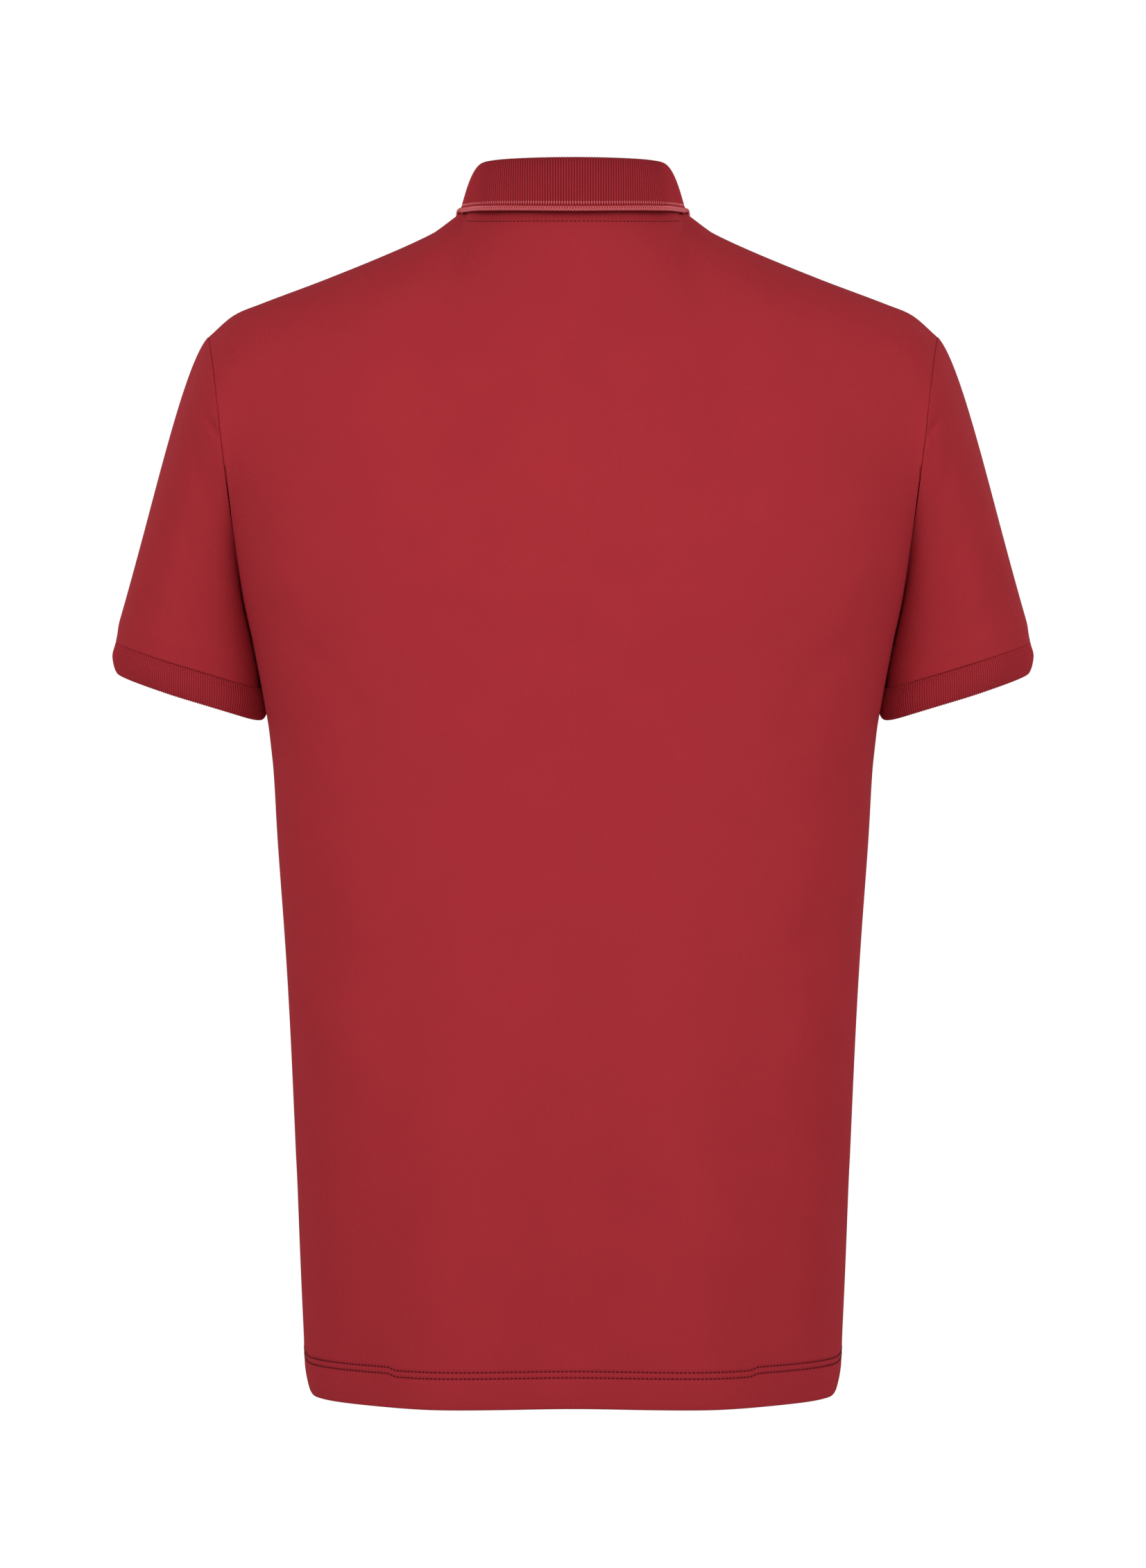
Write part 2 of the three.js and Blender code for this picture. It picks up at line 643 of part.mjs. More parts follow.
const sleeve = sleeveGeometry();
const cuff = cuffGeometry();
addPiece("sleeve_left", sleeve, RED, 0.9);
addPiece("sleeve_right", mirrored(sleeve), RED, 0.9);
addPiece("cuff_left", cuff, DARK_RED, 0.92);
addPiece("cuff_right", mirrored(cuff), DARK_RED, 0.92);
addPiece("collar", collarGeometry(), DARK_RED, 0.92);

// The under band fills the slit; the over band covers it and laps the panel on both sides
const slitInset = 0.0012;
addPiece(
  "placket_under_band",
  frontStrip(PLACKET_BOTTOM + 0.002, UNDER_BAND_TOP, PLACKET_SHARE - slitInset, -CLOTH, CLOTH, 4, 8),
  RED,
  0.9,
);
addPiece(
  "placket_over_band",
  frontStrip(PLACKET_BOTTOM - 0.02, OVER_BAND_TOP, PLACKET_SHARE + BAND_OVERHANG, SEAM_GAP, BAND_CLOTH, 4, 8),
  RED,
  0.9,
);

BUTTON_LEVELS.forEach((level, i) => {
  const normal = faceNormal(FRONT, 0, level);
  const button = addPiece(`button_${i + 1}`, buttonGeometry(), DARK_RED, 0.4);
  button.quaternion.setFromUnitVectors(vec(0, 1, 0), normal);
  button.position.copy(panelPoint(FRONT, 0, level)).addScaledVector(normal, BAND_CLOTH + 2 * SEAM_GAP);
});

export default shirt;
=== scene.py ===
"""A short-sleeved polo shirt of pique knit, with a ribbed collar and cuffs.

The shirt is filled out as if worn by a general figure. Metres, +Z up. The wearer faces -Y.
Every cut piece is a thin closed shell on the form of its solid in the packed frame.
"""

import math

import bpy
import numpy as np
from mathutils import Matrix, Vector
from mathutils.bvhtree import BVHTree


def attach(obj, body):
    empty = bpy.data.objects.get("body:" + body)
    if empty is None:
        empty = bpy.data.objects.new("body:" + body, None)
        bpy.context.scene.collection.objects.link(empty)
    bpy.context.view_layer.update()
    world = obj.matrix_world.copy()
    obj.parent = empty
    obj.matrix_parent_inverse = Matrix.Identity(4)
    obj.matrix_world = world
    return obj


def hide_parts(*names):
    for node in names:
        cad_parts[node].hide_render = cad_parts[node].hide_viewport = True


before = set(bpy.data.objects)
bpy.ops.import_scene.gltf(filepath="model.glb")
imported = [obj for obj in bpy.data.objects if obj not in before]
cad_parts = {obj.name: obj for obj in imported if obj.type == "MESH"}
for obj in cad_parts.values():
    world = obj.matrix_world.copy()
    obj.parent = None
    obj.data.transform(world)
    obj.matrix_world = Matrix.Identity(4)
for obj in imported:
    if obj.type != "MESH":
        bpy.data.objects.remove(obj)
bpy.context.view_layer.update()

bl_info = {
    "name": "Polo Shirt",
    "version": (1, 0, 0),
    "blender": (4, 5, 0),
    "location": "3D View > Sidebar > Polo Shirt",
    "description": "Builds a polo shirt of pique knit with ribbed collar and cuffs",
    "category": "Add Mesh",
}

ROOT = "root"
BACK = 1
FRONT = -1

# ---------------------------------------------------------------- sizes of the cut pieces

CLOTH = 0.0015
HEM_CORNER_RISE = 0.0055  # how much higher the hem is at the side seams
HEM_CURL = 0.0022  # how far the hem's edge curls in
HEM_CLOTH = 2 * CLOTH
COLLAR_KNIT = 0.0019
CUFF_KNIT = 0.0019
BAND_CLOTH = 0.002
SEAM_GAP = 0.0003
SLEEVE_GAP = 0.0012  # between the sleeve and the body under the arm
LEAF_GAP = 0.0006  # between the collar's leaf and the body

HEM_Z = -0.711
CHEST_Z = -0.238
HEM_DEPTH = 0.0235

NECK_HALF_WIDTH = 0.063
NECK_SIDE_Z = 0.005
NECK = {BACK: {"depth": 0.060, "z": 0.001}, FRONT: {"depth": 0.076, "z": -0.062}}
NECK_SHARE = 0.34
CORNER_SPREAD = 0.09  # share across over which the corner of the neck softens below
SHOULDER_END_X = 0.221
SHOULDER_END_Y = -0.003
RISE = 66
ARMHOLE_START = {BACK: (0.012, 0.062, 0.086), FRONT: (0.012, -0.064, 0.088)}

SLEEVE_END = (0.2335, -0.036, -0.2712)
SLEEVE_HALF_WIDTH = 0.0495
SLEEVE_HALF_DEPTH = 0.051
SLEEVE_RING_TILT = math.radians(16.5)
SLEEVE_RING_PITCH = math.radians(3.5)
SLEEVE_SQUARE = 1.0
SLEEVE_FLARE = 0.27
UNDERARM_FLARE = -0.22
CUFF_DROP = (0.0005, -0.0012, -0.020)

COLLAR_END = 0.988
SEAM_ROUND = 0.0010  # how round a sewn edge turns in
SEAM_DRAW = 0.6  # how far the armhole's seam draws the cloth in, in depths of its rounding
SEAM_BLEND = 0.985  # share of a panel from which its normals turn to those of its neighbour
PLACKET_SHARE = 0.05
PLACKET_BOTTOM = 1.3
OVER_BAND_TOP = 1.982
UNDER_BAND_TOP = 1.998
BAND_OVERHANG = 0.006
BUTTON_LEVELS = (1.9, 1.68, 1.46)


class Table:
    """Rows of numbers with named columns, read between the rows by a smooth curve."""

    def __init__(self, columns, rows):
        self.columns = columns.split()
        self.rows = np.array(rows, float)

    def __call__(self, column, at):
        keys = self.rows[:, 0]
        values = self.rows[:, self.columns.index(column)]
        last = len(keys) - 1
        at = np.clip(at, keys[0], keys[-1])
        i = np.clip(np.searchsorted(keys, at) - 1, 0, last - 1)
        below = np.maximum(np.arange(last + 1) - 1, 0)
        above = np.minimum(np.arange(last + 1) + 1, last)
        slope = (values[above] - values[below]) / (keys[above] - keys[below])
        step = keys[i + 1] - keys[i]
        t = (at - keys[i]) / step
        return (
            (2 * t**3 - 3 * t**2 + 1) * values[i]
            + (t**3 - 2 * t**2 + t) * step * slope[i]
            + (3 * t**2 - 2 * t**3) * values[i + 1]
            + (t**3 - t**2) * step * slope[i + 1]
        )


# Level sections of the body, from the hem to above the chest line
BODY = Table(
    "z half_width back_depth front_depth squareness",
    [
        (HEM_Z, 0.1615, 0.127, 0.127, 2.45),
        (-0.634, 0.165, 0.124, 0.123, 2.4),
        (-0.550, 0.1683, 0.118, 0.118, 2.35),
        (-0.466, 0.1725, 0.113, 0.116, 2.3),
        (-0.382, 0.1784, 0.111, 0.119, 2.3),
        (-0.319, 0.183, 0.113, 0.121, 2.3),
        (-0.264, 0.1925, 0.116, 0.121, 2.3),
        (-0.216, 0.203, 0.118, 0.118, 2.3),
        (-0.173, 0.210, 0.117, 0.112, 2.3),
    ],
)

# The line of the shoulder seam from the neck to the armhole
SHOULDER = Table(
    "x z",
    [
        (0.063, 0.005),
        (0.072, -0.0014),
        (0.078, -0.0060),
        (0.085, -0.0109),
        (0.110, -0.0225),
        (0.150, -0.0388),
        (0.190, -0.0538),
        (0.206, -0.0606),
        (0.221, -0.0735),
    ],
)

# How a panel arrives at its top edge, by the share across from the middle to the armhole;
# the first row mirrors the third
ARRIVAL = {
    BACK: Table(
        "across x y z",
        [
            (-0.2, 0.001, -0.040, 0.043),
            (0, 0, -0.024, 0.044),
            (0.2, -0.001, -0.040, 0.043),
            (0.34, -0.004, -0.080, 0.038),
            (0.46, -0.004, -0.098, 0.024),
            (0.65, -0.001, -0.094, 0.014),
            (0.85, 0.002, -0.080, 0.014),
            (1, 0.008, -0.066, 0.026),
        ],
    ),
    FRONT: Table(
        "across x y z",
        [
            (-0.2, 0.001, 0.034, 0.043),
            (0, 0, 0.020, 0.042),
            (0.2, -0.001, 0.034, 0.043),
            (0.34, -0.004, 0.072, 0.038),
            (0.46, -0.004, 0.092, 0.024),
            (0.65, -0.001, 0.090, 0.014),
            (0.85, 0.002, 0.078, 0.014),
            (1, 0.008, 0.064, 0.026),
        ],
    ),
}

# How far the cuff swells or pulls in, by the share of its depth beyond its seam
CUFF_SWELL = Table(
    "beyond out",
    [(-0.5, 0), (0, -0.0013), (0.4, 0.0005), (0.75, -0.0006), (0.9, -0.0018), (1, -0.0032)],
)

# The collar's height and fall, from the middle of the back to the middle front; the first
# row mirrors the third, so that the collar is smooth where its halves meet
COLLAR = Table(
    "at stand_up lean edge_x edge_y edge_z",
    [
        (-0.25, 0.0279, 0.007, -0.051, 0.051, -0.0020),
        (0, 0.0285, 0.007, 0, 0.072, -0.0042),
        (0.25, 0.0279, 0.007, 0.051, 0.051, -0.0020),
        (0.4, 0.0269, 0.0068, 0.0640, 0.023, -0.0002),
        (0.5, 0.0261, 0.0068, 0.0690, 0, 0.0002),
        (0.6, 0.0248, 0.0066, 0.0726, -0.021, -0.0095),
        (0.75, 0.022, 0.006, 0.074, -0.052, -0.032),
        (0.9, 0.014, 0.004, 0.061, -0.082, -0.066),
        (1, 0.009, 0.002, 0.0445, -0.091, -0.088),
    ],
)

# Soft folds that run down the body: place across and height of each end, half width, depth
# where the cloth sinks (negative where it swells), and whether the fold fades at its low end
FOLDS = {
    BACK: [
        # top x, low x, top z, low z, half width, depth, fades
        (0, 0, -0.400, HEM_Z, 0.052, 0.015, False),
        (0.098, 0.130, -0.360, HEM_Z, 0.024, 0.005, False),
        (0.132, 0.150, -0.330, -0.600, 0.020, -0.003, True),
        (0.070, 0.084, -0.380, HEM_Z, 0.022, -0.003, False),
    ],
    FRONT: [
        (0.060, 0.078, -0.330, HEM_Z, 0.026, 0.006, False),
        (0.118, 0.126, -0.300, -0.640, 0.024, 0.004, True),
    ],
}

# Smaller creases on each panel: a line from one end to the other with its half width and how
# deep it sinks (negative where it stands proud).
PANEL_CREASES = {
    BACK: [
        # x1, z1, x2, z2, half width, depth
        (0.176, -0.250, 0.120, -0.330, 0.010, 0.0012),
        (0.184, -0.300, 0.128, -0.372, 0.012, 0.0013),
        (0.188, -0.205, 0.150, -0.262, 0.009, -0.0009),
        (0.160, -0.395, 0.104, -0.470, 0.017, 0.0016),
        (0.150, -0.490, 0.094, -0.560, 0.015, -0.0010),
        (0.152, -0.560, 0.140, -0.700, 0.012, 0.0018),
        (0.030, -0.470, 0.016, -0.690, 0.016, 0.0012),
        (0.056, -0.560, 0.060, -0.706, 0.013, -0.0012),
        (0.118, -0.120, 0.060, -0.170, 0.030, 0.0010),
    ],
    FRONT: [
        (0.180, -0.232, 0.122, -0.300, 0.011, 0.0015),
        (0.186, -0.286, 0.140, -0.372, 0.012, -0.0012),
        (0.150, -0.150, 0.104, -0.214, 0.020, 0.0016),
        (0.156, -0.404, 0.102, -0.520, 0.018, 0.0019),
        (0.044, -0.380, 0.036, -0.640, 0.017, 0.0014),
        (0.104, -0.540, 0.110, -0.700, 0.014, -0.0014),
        (0.148, -0.580, 0.136, -0.704, 0.012, 0.0016),
        (0.020, -0.480, 0.012, -0.700, 0.012, 0.0011),
    ],
}

# Creases on a sleeve: the turn round it and the place along it of both ends
SLEEVE_CREASES = [
    # turn1, along1, turn2, along2, half width in turns, depth
    (0.262, -0.05, 0.140, 0.19, 0.012, 0.0019),
    (0.240, 0.42, 0.130, 0.26, 0.065, 0.0008),
    (0.320, 0.66, 0.200, 0.52, 0.050, 0.0008),
    (0.270, 0.88, 0.110, 0.76, 0.045, -0.0007),
    (0.740, 0.34, 0.860, 0.20, 0.045, 0.0014),
    (0.690, 0.64, 0.800, 0.50, 0.050, 0.0010),
    (0.900, 0.86, 0.760, 0.74, 0.045, 0.0008),
]

# ---------------------------------------------------------------- surfaces


def vec(x, y, z):
    return np.stack(np.broadcast_arrays(x, y, z), axis=-1).astype(float)


def smooth(x):
    x = np.clip(x, 0, 1)
    return x * x * (3 - 2 * x)


def mix(a, b, share):
    return a + (b - a) * share


def unit(vectors):
    return vectors / np.maximum(np.linalg.norm(vectors, axis=-1, keepdims=True), 1e-12)


def cubic(start, start_pull, end, end_pull, t):
    """A point of the curve that leaves start along start_pull and arrives at end."""
    t = np.asarray(t, float)[..., None]
    u = 1 - t
    return (
        start * u**3
        + (start + start_pull) * 3 * u**2 * t
        + (end - end_pull) * 3 * u * t**2
        + end * t**3
    )


def fold_depth(face, x, z):
    """How far all soft folds of a face sink the cloth at a place on the body."""
    total = 0
    for top_x, low_x, top_z, low_z, half_width, depth, fades in FOLDS[face]:
        down = (top_z - z) / (top_z - low_z)
        away = (np.abs(x) - mix(top_x, low_x, down)) / half_width
        strength = np.sin(np.pi * np.clip(down, 0, 1)) if fades else smooth(down)
        total = total + np.where(down > 0, depth * strength, 0) * np.exp(-(away**2))
    return total


def crease_depth(rows, x, y):
    """How far the listed creases sink the cloth; x and y are the places their rows use."""
    total = 0
    for i, (x1, y1, x2, y2, half_width, depth) in enumerate(rows):
        run = np.array([x2 - x1, y2 - y1])
        length = np.hypot(*run)
        along = ((x - x1) * run[0] + (y - y1) * run[1]) / length**2
        off = ((x - x1) * run[1] - (y - y1) * run[0]) / length
        bow = 0.10 * length * (-1) ** i * np.sin(np.pi * np.clip(along, 0, 1))
        spread = half_width * (0.75 + 0.5 * np.clip(along, 0, 1))
        ends = smooth(0.15 + along * 2.2) * smooth(0.15 + (1 - along) * 1.6)
        away = (off - bow) / spread
        steep = np.where(away > 0, 1.5, 0.8)
        total = total + depth * ends * np.exp(-steep * away**2)
    return total


def section_point(face, turn, z):
    """A point of the body's level section; turn is 0 at the middle and 1 at the side."""
    half_width = BODY("half_width", z)
    depth = BODY("back_depth" if face == BACK else "front_depth", z)
    n = BODY("squareness", z)
    sin = np.sin(turn * np.pi / 2)
    cos = np.maximum(np.cos(turn * np.pi / 2), 0)
    reach = (np.abs(sin) ** n + cos**n) ** (-1 / n)
    x = half_width * sin * reach
    sink = fold_depth(face, x, z) * cos
    return vec(x, face * (depth * cos * reach - sink), z)


def neck_edge(face, share):
    angle = share * np.pi / 2
    neck = NECK[face]
    return vec(
        NECK_HALF_WIDTH * np.sin(angle),
        face * neck["depth"] * np.cos(angle),
        mix(NECK_SIDE_Z, neck["z"], np.cos(angle)),
    )


def shoulder_edge(share):
    x = mix(NECK_HALF_WIDTH, SHOULDER_END_X, share)
    return vec(x, SHOULDER_END_Y * share, SHOULDER("z", x))


def top_edge(face, share):
    """A panel's top edge, by the share across, and how the cloth arrives there."""
    shoulder = shoulder_edge(np.clip((share - NECK_SHARE) / (1 - NECK_SHARE), 0, 1))
    neck = neck_edge(face, np.minimum(share / NECK_SHARE, 1))
    end = np.where((share < NECK_SHARE)[..., None], neck, shoulder)
    return end, vec(*(ARRIVAL[face](column, share) for column in "xyz"))


def panel_point(face, across, level):
    """A point of the front or back: across runs from -1 to 1, and level is 0 at the hem,
    1 at the chest line and 2 at the neck and shoulder edge."""
    across, level = np.broadcast_arrays(np.asarray(across, float), np.asarray(level, float))
    turn = np.abs(across)
    low = section_point(face, turn, mix(HEM_Z, CHEST_Z, np.minimum(level, 1)))
    start = section_point(face, turn, np.full_like(turn, CHEST_Z))
    above = section_point(face, turn, np.full_like(turn, CHEST_Z + 0.001))
    pull = mix((above - start) * RISE, np.array(ARMHOLE_START[face]), turn[..., None] ** 5)
    soft = CORNER_SPREAD * smooth((2 - level) * 5) * smooth((1 - turn) * 8)
    end, arrival = 0, 0
    for place in np.linspace(-1, 1, 9):
        weight = (1 + math.cos(math.pi * place)) / 8
        edge_end, edge_arrival = top_edge(face, turn + place * soft)
        end = end + edge_end * weight
        arrival = arrival + edge_arrival * weight
    high = cubic(start, pull, end, arrival, level - 1)
    point = np.where((level <= 1)[..., None], low, high)
    point[..., 0] *= np.where(across < 0, -1, 1)
    return point


def normals_of(point_at, u, v, sense, step=2e-3):
    """Outward normals of a surface given by two parameters."""
    along_u = point_at(u + step, v) - point_at(u - step, v)
    along_v = point_at(u, v + step) - point_at(u, v - step)
    return unit(np.cross(along_u, along_v)) * sense


def panel_normal(face, across, level):
    """Outward normals, shared by both panels where they meet at the side and shoulder."""

    def of(which):
        def at(u, v):
            return panel_point(which, np.clip(u, -1, 1), np.clip(v, 0, 2))

        return normals_of(at, across, level, -which)

    turn = np.abs(across)
    side = smooth((turn - SEAM_BLEND) / (1 - SEAM_BLEND)) * (level <= 1)
    shoulder = smooth((level - 1 - SEAM_BLEND) / (1 - SEAM_BLEND)) * (turn > NECK_SHARE)
    return unit(of(face) + of(-face) * np.maximum(side, shoulder)[..., None])


def panel_surface(face, across, level, lift=0.0):
    """The cloth's outside with its creases, raised by lift, and its normals."""
    point = panel_point(face, across, level)
    normal = panel_normal(face, across, level)
    above_hem = point[..., 2] - HEM_Z
    corner = smooth((np.abs(across) - 0.78) / 0.22) * smooth(1 - above_hem / 0.06)
    sink = crease_depth(PANEL_CREASES[face], np.abs(point[..., 0]), point[..., 2])
    sink = sink * smooth((1 - np.abs(across)) / 0.06)
    sink = sink + HEM_CURL * np.clip(1 - above_hem / 0.016, 0, 1) ** 2
    point[..., 2] += HEM_CORNER_RISE * corner
    return point + normal * (lift - sink)[..., None], normal


EDGE_FADE = 0.005  # beyond an open edge of the body, a lift fades out over this distance


class BodyCover:
    """The body's outside as a search tree, for keeping other cloth clear of it."""

    def __init__(self):
        self.trees = {}
        for face in (BACK, FRONT):
            across, level = np.meshgrid(np.linspace(-1, 1, 181), np.linspace(0.3, 2, 221))
            point, normal = panel_surface(face, across, level)
            points = point.reshape(-1, 3).tolist()
            rows, columns = across.shape
            index = np.arange(rows * columns).reshape(rows, columns)
            quads = quads_of(index)
            if face == BACK:
                quads = quads[:, ::-1]
            self.trees[face] = BVHTree.FromPolygons(points, quads.tolist())

    def lift(self, points, gaps):
        """Moves each point out until it is at least its gap from the body, where it is
        over the body; past an open edge of the cloth the push fades away."""
        flat = points.reshape(-1, 3).copy()
        wide = np.broadcast_to(gaps, points.shape[:-1]).reshape(-1)
        for k, (point, gap) in enumerate(zip(flat, wide)):
            if gap <= 0:
                continue
            found = [tree.find_nearest(Vector(point)) for tree in self.trees.values()]
            place, normal, _, _ = min(found, key=lambda hit: hit[3])
            away = np.array(Vector(point) - place)
            normal = np.array(normal)
            height = float(away @ normal)
            beside = np.linalg.norm(away - height * normal)
            fade = 1 - float(smooth(beside / EDGE_FADE))
            if height < gap:
                flat[k] += normal * (gap - height) * fade
        return flat.reshape(points.shape)


def armhole_point(turn):
    """The armhole's seam line: 0 at the shoulder, then the back, the underarm, the front."""
    turn = turn % 1
    back = panel_point(BACK, np.ones_like(turn), 2 - turn * 2)
    front = panel_point(FRONT, np.ones_like(turn), np.clip(turn * 2, 1, 2))
    return np.where((turn <= 0.5)[..., None], back, front)


SLEEVE_OUT = np.array([math.cos(SLEEVE_RING_TILT), 0, math.sin(SLEEVE_RING_TILT)])
SLEEVE_BACK = np.array([0, math.cos(SLEEVE_RING_PITCH), -math.sin(SLEEVE_RING_PITCH)])


def sleeve_ring(turn, beyond):
    """A ring of the cuff: beyond is 0 at its seam and 1 at its edge."""
    angle = (turn * 2 * np.pi)[..., None]
    cos, sin = np.cos(angle), np.sin(angle)
    # It is an ellipse, fuller at the back beside the body
    square = 2 + SLEEVE_SQUARE * np.clip(np.cos(angle - 0.75 * np.pi), 0, 1) ** 2
    reach = (np.abs(cos) ** square + np.abs(sin) ** square) ** (-1 / square)
    return (
        np.array(SLEEVE_END)
        + np.array(CUFF_DROP) * np.asarray(beyond)[..., None]
        + SLEEVE_OUT * SLEEVE_HALF_WIDTH * cos * reach
        + SLEEVE_BACK * SLEEVE_HALF_DEPTH * sin * reach
    )


def cuff_swell(beyond):
    """How far the cuff and the sleeve's end stand out from a straight tube."""
    return CUFF_SWELL("out", beyond)


def sleeve_bare(turn, along):
    """A point of the left sleeve before it is kept clear of the body."""
    start = armhole_point(turn)
    end = sleeve_ring(turn, np.zeros_like(turn))
    length = np.linalg.norm(end - start, axis=-1, keepdims=True)
    low = ((1 - np.cos(turn * 2 * np.pi)) / 2)[..., None]
    arrive = unit(np.array(CUFF_DROP)) + SLEEVE_OUT * mix(SLEEVE_FLARE, UNDERARM_FLARE, low)
    leave = mix(np.array([0.68, 0, -0.73]), np.array([-0.05, -0.35, -0.95]), low)
    pull = leave * length * mix(0.12, 0.34, low)
    return cubic(start, pull, end, arrive * length * 0.4, along)


def collar_seam(at):
    back = neck_edge(BACK, np.clip(at * 2, 0, 1))
    front = neck_edge(FRONT, np.clip((1 - at) * 2, 0, 1))
    return np.where((at <= 0.5)[..., None], back, front)


def collar_bare(around, over):
    """A point of the collar: over is 0 at its seam, 1 at the fold and 2 at the leaf's edge."""
    at = np.abs(around)
    seam = collar_seam(at)
    out = unit(seam * np.array([1, 1, 0]))
    seam = seam - out * COLLAR_KNIT
    seam[..., 2] += SEAM_GAP
    stand_up = COLLAR("stand_up", at)
    fold = seam - out * COLLAR("lean", at)[..., None]
    fold[..., 2] += stand_up
    roll = mix(0.007, 0.0035, smooth((at - 0.6) / 0.4))[..., None]
    rise = vec(0, 0, stand_up * 0.42) - 0.002 * out
    arrive = out * roll + np.array([0, 0, 0.001])
    inner = cubic(seam, rise, fold, arrive, np.minimum(over, 1))
    edge = vec(COLLAR("edge_x", at), COLLAR("edge_y", at), COLLAR("edge_z", at))
    fall = edge - fold
    start = out * roll + fall * 0.06
    settle = fall * 0.3 - out * 0.003 * (1 - at)[..., None]
    outer = cubic(fold, start, edge, settle, np.maximum(over - 1, 0))
    point = np.where((over <= 1)[..., None], inner, outer)
    point[..., 0] *= np.where(around < 0, -1, 1)
    return point


# ---------------------------------------------------------------- shells of cloth


def quads_of(index, wrap=False):
    """Quads between the neighbours of a grid of vertex numbers."""
    if wrap:
        index = np.concatenate([index, index[:, :1]], axis=1)
    corners = (index[:-1, :-1], index[:-1, 1:], index[1:, 1:], index[1:, :-1])
    return np.stack([c.reshape(-1) for c in corners], axis=-1)


def grid_normals(points, sense, wrap=False):
    """Normals of a grid of points, smooth across the join of a wrapped grid."""
    if wrap:
        ring = np.concatenate([points[:, -1:], points, points[:, :1]], axis=1)
        along = ring[:, 2:] - ring[:, :-2]
    else:
        along = np.gradient(points, axis=1)
    return unit(np.cross(along, np.gradient(points, axis=0))) * sense


EDGE_STEPS = np.array([0, 0.12, 0.42, 1.0])  # rounding of a cut or folded edge, in radii
EDGE_SINK = 0.75 * (1 - np.sqrt(1 - (1 - EDGE_STEPS) ** 2))


def spread(inside, edge_radius):
    """Shares of a run, and the offsets and sinks that round its two ends. inside is how many
    rows there are, or their shares."""
    low_radius, high_radius = edge_radius
    inside = np.linspace(0, 1, inside)[1:-1] if isinstance(inside, int) else inside
    low = EDGE_STEPS * low_radius if low_radius else np.zeros(1)
    high = (EDGE_STEPS * high_radius)[::-1] if high_radius else np.zeros(1)
    low_sink = EDGE_SINK * low_radius if low_radius else np.zeros(1)
    high_sink = (EDGE_SINK * high_radius)[::-1] if high_radius else np.zeros(1)
    still = np.zeros(len(inside))
    shares = np.concatenate([low * 0, inside, high * 0 + 1])
    offsets = np.concatenate([low, still, -high])
    sinks = np.concatenate([low_sink, still, high_sink])
    return shares, offsets, sinks


def measured_uv(points, wrap=False, middle=None):
    """Lengths along a grid's rows and columns, for patterns that follow the cloth."""
    across = np.linalg.norm(np.diff(points, axis=1), axis=-1)
    u = np.concatenate([np.zeros((len(points), 1)), np.cumsum(across, axis=1)], axis=1)
    if middle is not None:
        u = u - u[:, middle : middle + 1]
    up = np.linalg.norm(np.diff(points, axis=0), axis=-1)
    v = np.concatenate([np.zeros((1, points.shape[1])), np.cumsum(up, axis=0)], axis=0)
    return u, v


def shell_mesh(name, outer, inner, uv, wrap=False, keep=None, marks=None):
    """A closed shell between two grids of points. keep says which cells are cloth, and
    marks are named values of the outer points that the inner ones hold as 0."""
    rows, columns = outer.shape[:2]
    cells = (rows - 1, columns if wrap else columns - 1)
    keep = np.ones(cells, bool) if keep is None else keep
    outside = np.arange(rows * columns).reshape(rows, columns)
    inside = outside + rows * columns
    kept = keep.reshape(-1)
    out_quads = quads_of(outside, wrap)[kept]
    in_quads = quads_of(inside, wrap)[kept][:, ::-1]
    # A rim closes every side of a kept cell whose neighbour isn't kept
    edges = np.concatenate([out_quads[:, [k, (k + 1) % 4]] for k in range(4)])
    backwards = {(b, a) for a, b in edges.tolist()}
    open_edges = np.array([e for e in edges.tolist() if tuple(e) not in backwards])
    shift = rows * columns
    rims = np.stack(
        [open_edges[:, 1], open_edges[:, 0], open_edges[:, 0] + shift, open_edges[:, 1] + shift],
        axis=-1,
    )
    faces = np.concatenate([out_quads, in_quads, rims])
    points = np.concatenate([outer.reshape(-1, 3), inner.reshape(-1, 3)])
    u, v = (np.concatenate([part.reshape(-1)] * 2)[faces.reshape(-1)] for part in uv)
    if wrap:
        # Where a tube's last column meets its first, u runs on instead of back to its start
        column = faces % columns
        joins = (column.max(axis=1) == columns - 1) & (column.min(axis=1) == 0)
        lap = 2 * uv[0][:, -1] - uv[0][:, -2]
        ahead = (joins[:, None] & (column == 0)).reshape(-1)
        u[ahead] = lap[(faces.reshape(-1)[ahead] % shift) // columns]
    used, faces = np.unique(faces, return_inverse=True)
    faces = faces.reshape(-1, 4)
    mesh = bpy.data.meshes.new(name)
    mesh.from_pydata(points[used].tolist(), [], faces.tolist())
    layer = mesh.uv_layers.new(name="UVMap")
    layer.data.foreach_set("uv", np.stack([u, v], -1).reshape(-1))
    for mark, values in (marks or {}).items():
        attribute = mesh.attributes.new(mark, "FLOAT", "POINT")
        both = np.concatenate([values.reshape(-1), np.zeros(shift)])
        attribute.data.foreach_set("value", both[used].astype(np.float32))
    mesh.shade_smooth()
    mesh.validate()
    return mesh


def add_piece(name, mesh, material, replaces=()):
    """Makes a mesh a piece of the shirt."""
    mesh.name = name
    piece = bpy.data.objects.new(name, mesh)
    bpy.context.scene.collection.objects.link(piece)
    mesh.materials.clear()
    mesh.materials.append(material)
    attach(piece, ROOT)
    if replaces:
        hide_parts(*replaces)
    return piece


def mirrored(mesh):
    """A copy of a mesh on the other side of the wearer, with its faces still outwards."""
    copy = mesh.copy()
    points = np.zeros(len(copy.vertices) * 3)
    copy.vertices.foreach_get("co", points)
    points[::3] *= -1
    copy.vertices.foreach_set("co", points)
    copy.flip_normals()
    copy.update()
    return copy


# ---------------------------------------------------------------- node trees


